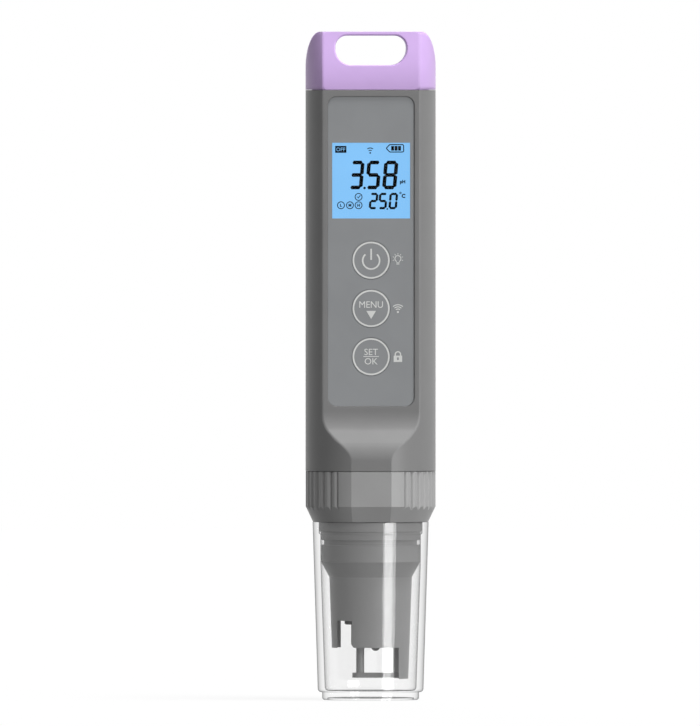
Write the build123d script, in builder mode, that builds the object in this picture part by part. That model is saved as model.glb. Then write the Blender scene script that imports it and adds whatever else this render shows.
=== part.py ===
from build123d import *
import os
from math import atan2, cos, hypot, radians, sin, sqrt, tan

# A pen-shaped pocket water tester. From the top down it has a lift-off battery cap with a lanyard slot,
# a housing with a display and three keys on its flat front, a screw collar, a replaceable probe,
# and a clear storage cup whose foot it stands on.
# Millimetres. The origin is on the long axis, under the cup's foot. Z runs up and the front looks to -Y.

# Clearances
seam = 0.1                   # the line left open where two outer pieces meet
fit = 0.05                   # between pieces fitted together for good
slide_fit = 0.2              # between pieces that slide past each other
key_fit = 0.1                # round each key
rest_gap = 0.1               # between a moving piece and the stop that it rests on
overcut = 1.0                # how far a cutting shape reaches past the piece that it cuts

# Battery compartment: four AAA cells in two rows, which set the width of the whole tester
cell_radius = 5.1
cell_length = 44.5
cell_gap = 0.6
nub_radius = 1.9
nub_height = 1.0
holder_wall = 0.8
holder_front_wall = 0.6
holder_side_wall = 0.585
holder_floor = 1.2
holder_flange = 2.0
spring_length = 3.5
spring_wire = 0.3
spring_radius = 3.2
spring_pitch = 1.15
plate_thickness = 0.3
slip_thickness = 1.9
slip_plate_width = 8.0
slip_plate_length = 17.0
slip_grip_width = 12.0
slip_grip_length = 3.0
slip_grip_depth = 0.8
holder_screw_inset = 4.3     # from the inside of the shell
holder_screw_radius = 1.1
holder_screw_head = 2.0
holder_screw_head_height = 1.2
holder_screw_length = 8.0

# Display, main board and what they carry, from the front back
glass_thickness = 1.4
backlight_thickness = 0.8
board_thickness = 1.2
display_height = 21.4
window_thickness = 1.2
glass_side_margin = 0.8
glass_margin = 3.5           # glass above and below the window
backlight_margin = 1.3
strip_width = 1.4
board_side_margin = 1.3      # board beside the window
board_top_margin = 2.0       # board above the glass
board_top_gap = 0.6          # board to the battery holder's flange
board_lap = 1.2              # height of the header below the board's lower edge
boss_radius = 2.1
board_screw_radius = 0.9
board_screw_head = 1.9
board_screw_head_height = 1.2
switch_size = 4.5
switch_height = 0.6
switch_button_radius = 1.1
switch_button_height = 0.25
chip_size = 8.0
chip_height = 1.4
chip_gap = 1.0               # chip to the battery holder
radio_width = 14.0
radio_length = 11.0
radio_height = 2.0

# Housing
shell_wall = 1.6
flat_cut = 6.3               # how far the flat front is cut into the round body
nose_cut = 0.9               # the same at the lower end
crease_round = 0.8
slope_start = 5.9            # the flare's slope leaves the lower flat this far above the lower edge
slope_height = 8.0
slope_round = 9.0
bulkhead_rise = 1.4          # bulkhead's underside above the lower edge
bulkhead_thickness = 1.6

# Overlay panel and keys
panel_border = 1.65          # flat front beside the panel
panel_top_margin = 1.9
panel_bottom_margin = 4.7    # above the top of the flare's slope
panel_corner = 2.5
panel_thickness = 0.5
recess_depth = 0.8
display_border = 1.25        # panel beside the window
key_radius = 5.4
key_drop = 11.9              # display window to the centre of the first key
key_pitch = 13.7
key_bottom_margin = 14.0     # centre of the last key to the panel's lower edge
key_flange = 0.6             # how far a key's flange stands out, and its thickness
key_travel = 0.3
plunger_radius = 1.5

# Battery cap
cap_height = 16.5
plug_depth = 4.6
plug_wall = 1.4
seal_height = 1.2
seal_depth = 0.9
cap_hollow = 4.9             # height of the hollow above the cap's lower edge
cap_bend = 8.5               # height over which the front and back bend inwards
cap_tilt = 15.0              # slope of front and back above the bend, in degrees
cap_corner_width = 4.1
cap_corner_height = 10.5
slot_width = 20.3
slot_height = 8.4
slot_top_bar = 1.1
slot_upper_round = 3.4
slot_lower_round = 4.6
slot_edge_round = 0.4

# Screw collar
collar_height = 14.3
collar_wall = 2.1
collar_lip = 3.2
cone_height = 4.4
cone_inset = 2.1
rib_angle = 8.5              # degrees from rib to rib
rib_count = 14               # ribs on each side
rib_depth = 0.67

# Neck of the housing, which the collar screws onto
thread_room = 0.6            # between the neck and the collar
neck_wall = 2.4
guide_width = 2.0            # rib on the probe that lines it up
guide_height = 1.0

# Probe
flange_thickness = 1.8
gasket_thickness = 0.6
barrel_height = 6.2
barrel_wall = 2.4
oring_wire = 0.65
step_ledge = 1.45            # the step stands out from the barrel's line
step_height = 2.8
sleeve_inset = 0.52
sleeve_length = 8.6
ring_groove_drop = 2.45
ring_groove_height = 1.35
ring_groove_depth = 0.85
shoulder_height = 4.35
shoulder_inset = 2.38
core_shoulder = 1.0          # the bore narrows over this height above the guard
guard_length = 28.9
guard_taper = 1.03
guard_wall = 1.05
notch_rise = 16.55           # heights above the tip of the guard
prong_rise = 8.8
block_rise = 8.9
bar_rise = 0.25
bar_thickness = 1.4
bar_width = 4.0
bar_reach = -5.2
post_x = -2.95
post_radius = 1.15
prong_front_x = -9.5
prong_back_x = -8.4
notch_x = -5.4
leg_front_x = 7.9
leg_back_x = 6.5
block_corner = 0.8

# Electrodes and connector
bulb_gap = 0.8               # post to bulb
bulb_stem_radius = 2.4
bulb_tip_radius = 1.35
bulb_tip_drop = 1.1          # below the lower edge of the guard's front
bulb_taper = 4.3
bulb_stem_length = 30.0
cell_sensor_gap = 0.1        # post to conductivity sensor
cell_sensor_radius = 1.6
cell_sensor_drop = 1.2
cell_sensor_length = 20.0
cell_sensor_edge = 0.3
thermistor_gap = 0.7         # bulb to thermistor
thermistor_radius = 1.1
thermistor_drop = 5.0
thermistor_length = 20.0
junction_x = -1.0
junction_y = 5.5
junction_radius = 1.3
junction_length = 6.0
plug_thickness = 1.8
disc_board_thickness = 1.2
pin_radius = 0.5
pin_count = 6
pin_circle = 5.0
pin_reach = 4.5
contact_wall = 0.3
socket_radius = 7.9
socket_flange = 2.4
socket_flange_thickness = 1.6
socket_gap = 1.0
link_width = 15.2
link_depth = 2.5
link_height = 2.5

# Storage cup
tip_gap = 3.45               # the cup's floor to the tip of the guard
cup_rim_step = 0.1           # the cup's rim stands out from the collar's cone
cup_taper = 1.5
cup_wall = 2.0
cup_mouth_fit = 0.1
cup_mouth_depth = 3.2
cup_sleeve_gap = 0.17
cup_bend_inset = 0.05
cup_bend_drop = 0.8          # the bore bends this far below the sleeve
cup_floor = 2.6
cup_corner = 1.0
foot_inset = 1.24
foot_height = 2.2
foot_round = 0.7
foot_rim = 1.46
foot_recess_depth = 0.6

# Depths behind the flat front. The window wall, the glass, its backlight and the board lie one behind the
# other, then come the two rows of cells.
board_behind_front = shell_wall + rest_gap + glass_thickness + backlight_thickness
holder_behind_front = board_behind_front + board_thickness + slide_fit
cell_x = cell_radius + cell_gap / 2
cell_pitch_y = 2 * cell_radius + cell_gap
first_row_behind_front = holder_behind_front + holder_front_wall + cell_radius

# The body is the smallest circle that leaves the holder's wall round the back row. With the back row's centres
# at a depth behind the circle's foremost point, the axis one radius behind that point, and the wall and the
# cell taking up a width inside the circle: (radius - width)^2 = cell_x^2 + (depth - radius)^2.
back_row_depth = flat_cut + first_row_behind_front + cell_pitch_y
back_row_width = cell_radius + holder_side_wall + slide_fit + shell_wall
body_radius = (cell_x**2 + back_row_depth**2 - back_row_width**2) / (2 * (back_row_depth - back_row_width))

face_depth = body_radius - flat_cut
nose_depth = body_radius - nose_cut
inner_radius = body_radius - shell_wall
inner_face = face_depth - shell_wall
board_depth = face_depth - board_behind_front
board_back = board_depth - board_thickness
glass_back = board_depth + backlight_thickness
holder_face = face_depth - holder_behind_front
cell_front_y = first_row_behind_front - face_depth
cell_places = [
    (side * cell_x, cell_front_y + row * cell_pitch_y) for row in (0, 1) for side in (-1, 1)
]
rows_middle_y = cell_front_y + cell_pitch_y / 2
holder_screw_x = inner_radius - holder_screw_inset
holder_screw_places = [(-holder_screw_x, rows_middle_y), (holder_screw_x, rows_middle_y)]

# Widths on the front
panel_width = 2 * (sqrt(body_radius**2 - face_depth**2) - panel_border)
display_width = panel_width - 2 * display_border
board_width = display_width + 2 * board_side_margin
board_screw_x = board_width / 2 - boss_radius

# Radii from the collar inwards
collar_bore = body_radius - collar_wall
neck_radius = collar_bore - thread_room
neck_bore = neck_radius - neck_wall
barrel_radius = neck_bore - slide_fit
step_radius = barrel_radius + step_ledge
lip_bore = step_radius + slide_fit
sleeve_radius = step_radius - sleeve_inset
guard_radius = sleeve_radius - shoulder_inset
guard_tip_radius = guard_radius - guard_taper
guard_lean = guard_taper / guard_length
probe_bore = barrel_radius - barrel_wall
cup_radius = body_radius - cone_inset + cup_rim_step
cup_low_radius = cup_radius - cup_taper
cup_mouth_bore = step_radius + cup_mouth_fit
cup_bore = sleeve_radius + cup_sleeve_gap
cup_bend_bore = cup_bore - cup_bend_inset
cup_low_bore = cup_low_radius - cup_wall
foot_radius = cup_low_radius - foot_inset
foot_recess_radius = foot_radius - foot_rim

# Levels of the cup, the probe and the collar, from the floor up
guard_bottom = cup_floor + tip_gap
shoulder_bottom = guard_bottom + guard_length
shoulder_top = shoulder_bottom + shoulder_height
step_bottom = shoulder_top + sleeve_length
collar_bottom = step_bottom + step_height
cup_height = collar_bottom - seam
cup_bend_height = shoulder_top - cup_bend_drop
notch_top = guard_bottom + notch_rise
block_bottom = guard_bottom + block_rise
lip_top = collar_bottom + collar_lip
collar_top = collar_bottom + collar_height
flange_bottom = lip_top + rest_gap
flange_top = flange_bottom + flange_thickness
neck_bottom = flange_top + gasket_thickness + slide_fit
barrel_top = flange_top + barrel_height
pin_top = barrel_top + pin_reach
plug_bottom = barrel_top - plug_thickness
probe_board_bottom = plug_bottom - disc_board_thickness
ring_groove_top = step_bottom - ring_groove_drop
oring_middle = flange_top + barrel_height / 2
oring_seat = barrel_radius - 2 * oring_wire + key_fit

# Levels of the housing. Its length is what the flare, the keys, the display and the stack above them take up.
body_bottom = collar_top + seam
slope_low = body_bottom + slope_start
slope_high = slope_low + slope_height
panel_bottom = slope_high + panel_bottom_margin
key_heights = [panel_bottom + key_bottom_margin + key_pitch * step for step in (2, 1, 0)]
display_bottom = key_heights[0] + key_drop
display_top = display_bottom + display_height
display_middle = display_bottom + display_height / 2
glass_height = display_height + 2 * glass_margin
backlight_height = display_height + 2 * backlight_margin
board_top = display_top + glass_margin + board_top_margin
holder_top = board_top + board_top_gap + holder_flange
slip_top = holder_top + slip_thickness
body_top = slip_top + 2 * slide_fit + plug_depth
body_length = body_top - body_bottom
panel_top = body_top - panel_top_margin
recess_floor = face_depth - recess_depth
panel_face = recess_floor + panel_thickness

bulkhead_bottom = body_bottom + bulkhead_rise
bulkhead_top = bulkhead_bottom + bulkhead_thickness
socket_bottom = barrel_top + socket_gap
socket_board_bottom = bulkhead_top + socket_flange_thickness
link_bottom = socket_board_bottom + disc_board_thickness
board_bottom = link_bottom + board_lap

cell_bottom = holder_top - cell_length
spring_bottom = cell_bottom - spring_length
holder_floor_top = spring_bottom - plate_thickness
holder_bottom = holder_floor_top - holder_floor

chip_z = holder_bottom - chip_gap - chip_size / 2
radio_z = (link_bottom + link_height + chip_z - chip_size / 2) / 2
screw_heights = [(board_bottom + chip_z) / 2, chip_z]
board_screw_places = [(side * board_screw_x, height) for height in screw_heights for side in (-1, 1)]

# Levels of the cap
cap_bottom = body_top + seam
cap_top = cap_bottom + cap_height
slot_middle = cap_top - slot_top_bar - slot_height / 2
seal_middle = body_top - plug_depth / 2

# Electrodes, side by side from the post
bulb_x = post_x + post_radius + bulb_gap + bulb_stem_radius
cell_sensor_x = post_x - post_radius - cell_sensor_gap - cell_sensor_radius
thermistor_x = bulb_x + bulb_stem_radius + thermistor_gap + thermistor_radius
bulb_tip_bottom = block_bottom - bulb_tip_drop
bulb_stem_bottom = bulb_tip_bottom + bulb_tip_radius + bulb_taper
sensor_bottom = notch_top - cell_sensor_drop
thermistor_bottom = notch_top - thermistor_drop

reach = 2 * body_radius      # cutting shapes go this far past the body


def flat_fronted(radius, front):
    """The section of the body: a circle cut flat at a distance in front of the axis."""
    Circle(radius)
    with Locations((0, -front - radius)):
        Rectangle(4 * radius, 2 * radius, mode=Mode.SUBTRACT)


def ahead_of_front(inset):
    """Everything ahead of the housing's front, or of a face inset from it."""
    lean = atan2(nose_depth - face_depth, slope_height)
    drop = inset * tan(lean / 2)
    upper = (inset - face_depth, slope_high - drop)
    lower = (inset - nose_depth, slope_low - drop)
    with BuildPart() as waste:
        with BuildSketch(Plane.YZ.offset(-reach)) as region:
            with BuildLine():
                Polyline(
                    (upper[0], body_top + reach),
                    upper,
                    lower,
                    (lower[0], body_bottom - reach),
                    (-2 * reach, body_bottom - reach),
                    (-2 * reach, body_top + reach),
                    close=True,
                )
            make_face()
            fillet(region.vertices().sort_by_distance(upper)[0], slope_round + inset)
            fillet(region.vertices().sort_by_distance(lower)[0], slope_round - inset)
        extrude(amount=2 * reach)
    return waste.part


def front_slab(depth_from, depth_to, x_size, z_low, z_high, corner):
    """A flat piece parallel to the front, between two depths, with rounded corners."""
    middle = (z_low + z_high) / 2
    with BuildPart() as slab:
        with BuildSketch(Plane.XZ.offset(depth_from)):
            with Locations((0, middle)):
                RectangleRounded(x_size, z_high - z_low, corner)
        extrude(amount=depth_to - depth_from)
    return slab.part


os.makedirs("parts", exist_ok=True)


# Storage cup: a clear tapered cup that closes over the probe, with a stepped foot
with BuildPart() as storage_cup:
    with BuildSketch(Plane.XZ) as wall:
        with BuildLine():
            Polyline(
                (0, foot_recess_depth),
                (foot_recess_radius, foot_recess_depth),
                (foot_recess_radius, 0),
                (foot_radius, 0),
                (foot_radius, foot_height),
                (cup_low_radius, foot_height),
                (cup_radius, cup_height),
                (cup_mouth_bore, cup_height),
                (cup_mouth_bore, cup_height - cup_mouth_depth),
                (cup_bore, cup_height - cup_mouth_depth - (cup_mouth_bore - cup_bore)),
                (cup_bend_bore, cup_bend_height),
                (cup_low_bore, cup_floor),
                (0, cup_floor),
                close=True,
            )
        make_face()
        inside_corner = wall.vertices().sort_by_distance((cup_low_bore, cup_floor))[0]
        fillet(inside_corner, cup_corner)
        shoulder_corner = wall.vertices().sort_by_distance((cup_low_radius, foot_height))[0]
        fillet(shoulder_corner, cup_corner)
        foot_corner = wall.vertices().sort_by_distance((foot_radius, 0))[0]
        fillet(foot_corner, foot_round)
    revolve(axis=Axis.Z)
storage_cup.part.label = "storage_cup"
export_step(storage_cup.part, "parts/storage_cup.step")


# Screw collar: ribbed left and right, with a plain flat front and back, and a cone below
rib_half_pitch = body_radius * radians(rib_angle) / 2
rib_round = (rib_half_pitch**2 + rib_depth**2) / (2 * rib_depth)
first_rib = 90 - rib_angle * (rib_count - 1) / 2
with BuildPart() as screw_collar:
    with BuildSketch(Plane.XY.offset(collar_bottom)):
        Circle(body_radius)
        with BuildSketch(mode=Mode.PRIVATE) as rib_band:
            plain_half = 90 - rib_angle * rib_count / 2
            with BuildLine():
                Polyline(
                    (0, 0),
                    (reach, -reach / tan(radians(plain_half))),
                    (reach, reach / tan(radians(plain_half))),
                    close=True,
                )
            make_face()
            Circle(body_radius - rib_depth, mode=Mode.SUBTRACT)
            mirror(about=Plane.YZ)
        add(rib_band.sketch, mode=Mode.SUBTRACT)
        for side in (0, 180):
            with PolarLocations(
                body_radius - rib_round, rib_count, start_angle=side - 90 + first_rib,
                angular_range=rib_angle * rib_count,
            ):
                Circle(rib_round)
    extrude(amount=collar_height)
    with BuildSketch(Plane.XZ):
        with BuildLine():
            Polyline(
                (0, collar_bottom),
                (body_radius - cone_inset, collar_bottom),
                (body_radius, collar_bottom + cone_height),
                (body_radius, collar_top),
                (0, collar_top),
                close=True,
            )
        make_face()
    revolve(axis=Axis.Z, mode=Mode.INTERSECT)
    with BuildSketch(Plane.YZ):
        with BuildLine():
            Polyline(
                (cone_inset - nose_depth, collar_bottom),
                (-nose_depth, collar_bottom + cone_height),
                (-nose_depth, collar_top),
                (-reach, collar_top),
                (-reach, collar_bottom),
                close=True,
            )
        make_face()
    extrude(amount=body_radius, both=True, mode=Mode.SUBTRACT)
    with BuildSketch(Plane.XY.offset(collar_bottom)):
        Circle(lip_bore)
    extrude(amount=collar_lip, mode=Mode.SUBTRACT)
    with BuildSketch(Plane.XY.offset(lip_top)):
        Circle(collar_bore)
    extrude(amount=collar_height, mode=Mode.SUBTRACT)
screw_collar.part.label = "screw_collar"
export_step(screw_collar.part, "parts/screw_collar.step")


# Hollow inside the housing, and the housing shell with its neck, openings and screw bosses
with BuildPart() as housing_hollow:
    with BuildSketch(Plane.XY.offset(bulkhead_top)):
        Circle(inner_radius)
    extrude(amount=body_length)
    add(ahead_of_front(shell_wall), mode=Mode.SUBTRACT)

with BuildPart() as housing_shell:
    with BuildSketch(Plane.XY.offset(body_bottom)):
        Circle(body_radius)
    extrude(amount=body_length)
    add(ahead_of_front(0), mode=Mode.SUBTRACT)
    creases = housing_shell.edges().filter_by(
        lambda edge: edge.bounding_box().size.Z > overcut and edge.center().Y < overcut - face_depth
    )
    fillet(creases, crease_round)
    with BuildSketch(Plane.XY.offset(neck_bottom)):
        Circle(neck_radius)
    extrude(until=Until.NEXT)
    with BuildSketch(Plane.XY.offset(neck_bottom)):
        Circle(neck_bore)
        with Locations((0, neck_bore)):
            Rectangle(guide_width + 2 * slide_fit, 2 * (guide_height + slide_fit))
    extrude(amount=bulkhead_bottom - neck_bottom, mode=Mode.SUBTRACT)
    add(housing_hollow.part, mode=Mode.SUBTRACT)
    with BuildSketch(Plane.XY.offset(bulkhead_bottom)):
        Circle(socket_radius + fit)
    extrude(amount=bulkhead_thickness, mode=Mode.SUBTRACT)
    add(
        front_slab(
            recess_floor, face_depth + overcut, panel_width + 2 * fit, panel_bottom - fit, panel_top + fit,
            panel_corner + fit,
        ),
        mode=Mode.SUBTRACT,
    )
    add(
        front_slab(
            inner_face - overcut, recess_floor + fit, display_width + 2 * fit, display_bottom - fit,
            display_top + fit, fit,
        ),
        mode=Mode.SUBTRACT,
    )
    with BuildSketch(Plane.XZ.offset(inner_face - overcut)):
        with Locations(*[(0, height) for height in key_heights]):
            Circle(key_radius + key_fit)
    extrude(amount=shell_wall + overcut, mode=Mode.SUBTRACT)
    with BuildSketch(Plane.XZ.offset(board_depth)):
        with Locations(*board_screw_places):
            Circle(boss_radius)
            Circle(board_screw_radius + fit, mode=Mode.SUBTRACT)
    extrude(amount=inner_face - board_depth + fit)
    with BuildSketch(Plane.XY.offset(holder_top - holder_flange - holder_screw_length)):
        with Locations(*holder_screw_places):
            Circle(boss_radius)
        with Locations((-inner_radius, rows_middle_y), (inner_radius, rows_middle_y)):
            Rectangle(2 * (inner_radius - holder_screw_x), 2 * shell_wall)
        Circle(inner_radius + fit, mode=Mode.INTERSECT)
        with Locations(*holder_screw_places):
            Circle(holder_screw_radius + fit, mode=Mode.SUBTRACT)
    extrude(amount=holder_screw_length)
housing_shell.part.label = "housing_shell"
export_step(housing_shell.part, "parts/housing_shell.step")


# Overlay panel: the thin printed sheet in the front's recess, open at the display and the keys
with BuildPart() as overlay_panel:
    add(front_slab(recess_floor, panel_face, panel_width, panel_bottom, panel_top, panel_corner))
    with BuildSketch(Plane.XZ.offset(recess_floor)):
        with Locations((0, display_middle)):
            Rectangle(display_width + 2 * fit, display_height + 2 * fit)
        with Locations(*[(0, height) for height in key_heights]):
            Circle(key_radius + key_fit)
    extrude(amount=panel_thickness, mode=Mode.SUBTRACT)
overlay_panel.part.label = "overlay_panel"
export_step(overlay_panel.part, "parts/overlay_panel.step")


# Display: the clear window, the glass behind it, its backlight and its two contact strips
with BuildPart() as display_window:
    with BuildSketch(Plane.XZ.offset(panel_face - window_thickness)):
        with Locations((0, display_middle)):
            Rectangle(display_width, display_height)
    extrude(amount=window_thickness)
display_window.part.label = "display_window"
export_step(display_window.part, "parts/display_window.step")

with BuildPart() as lcd_panel:
    with BuildSketch(Plane.XZ.offset(glass_back)):
        with Locations((0, display_middle)):
            Rectangle(display_width + 2 * glass_side_margin, glass_height)
    extrude(amount=glass_thickness)
lcd_panel.part.label = "lcd_panel"
export_step(lcd_panel.part, "parts/lcd_panel.step")

with BuildPart() as lcd_backlight:
    with BuildSketch(Plane.XZ.offset(board_depth)):
        with Locations((0, display_middle)):
            Rectangle(display_width + 2 * glass_side_margin, backlight_height)
    extrude(amount=glass_back - board_depth)
lcd_backlight.part.label = "lcd_backlight"
export_step(lcd_backlight.part, "parts/lcd_backlight.step")

with BuildPart() as lcd_strips:
    strip_offset = (backlight_height + strip_width) / 2 + fit
    with BuildSketch(Plane.XZ.offset(board_depth)):
        with Locations((0, display_middle - strip_offset), (0, display_middle + strip_offset)):
            Rectangle(display_width, strip_width)
    extrude(amount=glass_back - board_depth)
lcd_strips.part.label = "lcd_strips"
export_step(lcd_strips.part, "parts/lcd_strips.step")


# Main board with its screws, switches and larger components
with BuildPart() as main_board:
    with BuildSketch(Plane.XZ.offset(board_back)):
        with Locations((0, (board_top + board_bottom) / 2)):
            Rectangle(board_width, board_top - board_bottom)
        with Locations(*board_screw_places):
            Circle(board_screw_radius + fit, mode=Mode.SUBTRACT)
    extrude(amount=board_thickness)
main_board.part.label = "main_board"
export_step(main_board.part, "parts/main_board.step")

with BuildPart() as board_screws:
    with BuildSketch(Plane.XZ.offset(board_back - board_screw_head_height)):
        with Locations(*board_screw_places):
            Circle(board_screw_head)
    extrude(amount=board_screw_head_height)
    with BuildSketch(Plane.XZ.offset(board_back)):
        with Locations(*board_screw_places):
            Circle(board_screw_radius)
    extrude(amount=inner_face - board_back - fit)
board_screws.part.label = "board_screws"
export_step(board_screws.part, "parts/board_screws.step")

with BuildPart() as key_switches:
    with BuildSketch(Plane.XZ.offset(board_depth)):
        with Locations(*[(0, height) for height in key_heights]):
            Rectangle(switch_size, switch_size)
    extrude(amount=switch_height)
    with BuildSketch(Plane.XZ.offset(board_depth + switch_height)):
        with Locations(*[(0, height) for height in key_heights]):
            Circle(switch_button_radius)
    extrude(amount=switch_button_height)
key_switches.part.label = "key_switches"
export_step(key_switches.part, "parts/key_switches.step")

with BuildPart() as processor_chip:
    with BuildSketch(Plane.XZ.offset(board_back - chip_height)):
        with Locations((0, chip_z)):
            Rectangle(chip_size, chip_size)
    extrude(amount=chip_height)
processor_chip.part.label = "processor_chip"
export_step(processor_chip.part, "parts/processor_chip.step")

with BuildPart() as radio_module:
    with BuildSketch(Plane.XZ.offset(board_back - radio_height)):
        with Locations((0, radio_z)):
            Rectangle(radio_width, radio_length)
    extrude(amount=radio_height)
radio_module.part.label = "radio_module"
export_step(radio_module.part, "parts/radio_module.step")


# Keys: a disc level with the overlay, a flange behind the housing wall and a plunger over the switch
key_names = ["power_key", "menu_key", "enter_key"]
flange_face = inner_face - rest_gap
switch_face = board_depth + switch_height + switch_button_height
plunger_length = flange_face - key_flange - switch_face - key_travel - rest_gap
for key_name, key_height in zip(key_names, key_heights):
    with BuildPart() as key:
        with BuildSketch(Plane.XZ.offset(flange_face - key_flange - plunger_length)):
            with Locations((0, key_height)):
                Circle(plunger_radius)
        extrude(amount=plunger_length)
        with BuildSketch(Plane.XZ.offset(flange_face - key_flange)):
            with Locations((0, key_height)):
                Circle(key_radius + key_flange)
        extrude(amount=key_flange)
        with BuildSketch(Plane.XZ.offset(flange_face)):
            with Locations((0, key_height)):
                Circle(key_radius)
        extrude(amount=panel_face - flange_face)
    key.part.label = key_name
    export_step(key.part, f"parts/{key_name}.step")


# Battery holder: four tubes in a block, with a flange screwed down on two bosses of the housing
with BuildPart() as battery_holder:
    with BuildSketch(Plane.XY.offset(holder_bottom)):
        with Locations(*cell_places):
            Circle(cell_radius + fit + holder_wall)
        with Locations((0, rows_middle_y)):
            Rectangle(2 * cell_x, cell_pitch_y)
        with BuildSketch(mode=Mode.PRIVATE) as clear_of_shell:
            flat_fronted(inner_radius - slide_fit, holder_face)
        add(clear_of_shell.sketch, mode=Mode.INTERSECT)
    extrude(amount=holder_top - holder_bottom)
    with BuildSketch(Plane.XY.offset(holder_top - holder_flange)):
        flat_fronted(inner_radius - slide_fit, inner_face - slide_fit)
    extrude(amount=holder_flange)
    with BuildSketch(Plane.XY.offset(holder_floor_top)):
        with Locations(*cell_places):
            Circle(cell_radius + 2 * fit)
    extrude(amount=holder_top - holder_floor_top, mode=Mode.SUBTRACT)
    with BuildSketch(Plane.XY.offset(holder_top - holder_flange)):
        with Locations(*holder_screw_places):
            Circle(holder_screw_radius + fit)
    extrude(amount=holder_flange, mode=Mode.SUBTRACT)
    with BuildSketch(Plane.XY.offset(holder_top - holder_screw_head_height - fit)):
        with Locations(*holder_screw_places):
            Circle(holder_screw_head + fit)
    extrude(amount=holder_screw_head_height + fit, mode=Mode.SUBTRACT)
battery_holder.part.label = "battery_holder"
export_step(battery_holder.part, "parts/battery_holder.step")

with BuildPart() as holder_screws:
    head_bottom = holder_top - holder_screw_head_height - fit
    with BuildSketch(Plane.XY.offset(head_bottom)):
        with Locations(*holder_screw_places):
            Circle(holder_screw_head)
    extrude(amount=holder_screw_head_height)
    with BuildSketch(Plane.XY.offset(head_bottom)):
        with Locations(*holder_screw_places):
            Circle(holder_screw_radius)
    extrude(amount=-holder_screw_length)
holder_screws.part.label = "holder_screws"
export_step(holder_screws.part, "parts/holder_screws.step")


# Cells, the springs and plates under them and the slip that closes the compartment
for number, (place_x, place_y) in enumerate(cell_places, start=1):
    with BuildPart() as battery_cell:
        with BuildSketch(Plane.XY.offset(cell_bottom)):
            with Locations((place_x, place_y)):
                Circle(cell_radius)
        extrude(amount=cell_length - nub_height)
        with BuildSketch(Plane.XY.offset(cell_bottom)):
            with Locations((place_x, place_y)):
                Circle(nub_radius)
        extrude(amount=cell_length)
    battery_cell.part.label = f"battery_cell_{number}"
    export_step(battery_cell.part, f"parts/battery_cell_{number}.step")

coil = Helix(
    pitch=spring_pitch, height=spring_length - 2 * spring_wire, radius=spring_radius,
    center=(0, 0, spring_bottom + spring_wire),
)
with BuildPart() as spring_turns:
    with BuildSketch(Plane(origin=coil @ 0, z_dir=coil % 0)):
        Circle(spring_wire)
    sweep(path=coil, is_frenet=True)
with BuildPart() as cell_springs:
    with Locations(*cell_places):
        add(spring_turns.part)
cell_springs.part.label = "cell_springs"
export_step(cell_springs.part, "parts/cell_springs.step")

with BuildPart() as spring_plates:
    with BuildSketch(Plane.XY.offset(holder_floor_top)):
        with Locations(*cell_places):
            Circle(cell_radius)
    extrude(amount=plate_thickness)
spring_plates.part.label = "spring_plates"
export_step(spring_plates.part, "parts/spring_plates.step")

with BuildPart() as slip_contacts:
    with BuildSketch(Plane.XY.offset(holder_top)):
        with Locations((-cell_x, rows_middle_y), (cell_x, rows_middle_y)):
            Rectangle(slip_plate_width, slip_plate_length)
    extrude(amount=plate_thickness)
slip_contacts.part.label = "slip_contacts"
export_step(slip_contacts.part, "parts/slip_contacts.step")

with BuildPart() as battery_slip:
    with BuildSketch(Plane.XY.offset(holder_top)):
        flat_fronted(inner_radius - slide_fit, inner_face - slide_fit)
    extrude(amount=slip_thickness)
    with BuildSketch(Plane.XY.offset(holder_top)):
        with Locations((-cell_x, rows_middle_y), (cell_x, rows_middle_y)):
            Rectangle(slip_plate_width + 2 * fit, slip_plate_length + 2 * fit)
    extrude(amount=plate_thickness + fit, mode=Mode.SUBTRACT)
    with BuildSketch(Plane.XY.offset(slip_top)):
        with Locations((0, rows_middle_y - slip_grip_length), (0, rows_middle_y + slip_grip_length)):
            SlotOverall(slip_grip_width, slip_grip_length)
    extrude(amount=-slip_grip_depth, mode=Mode.SUBTRACT)
battery_slip.part.label = "battery_slip"
export_step(battery_slip.part, "parts/battery_slip.step")


# Battery cap: leans in at front and back, rounds off at its sides, and has the lanyard slot
def cap_drop(rise):
    """How far the cap's front has leaned back at a height above its lower edge."""
    bend_radius = cap_bend / sin(radians(cap_tilt))
    bent = min(rise, cap_bend)
    straight = max(rise - cap_bend, 0)
    return bend_radius - sqrt(bend_radius**2 - bent**2) + straight * tan(radians(cap_tilt))


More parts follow.
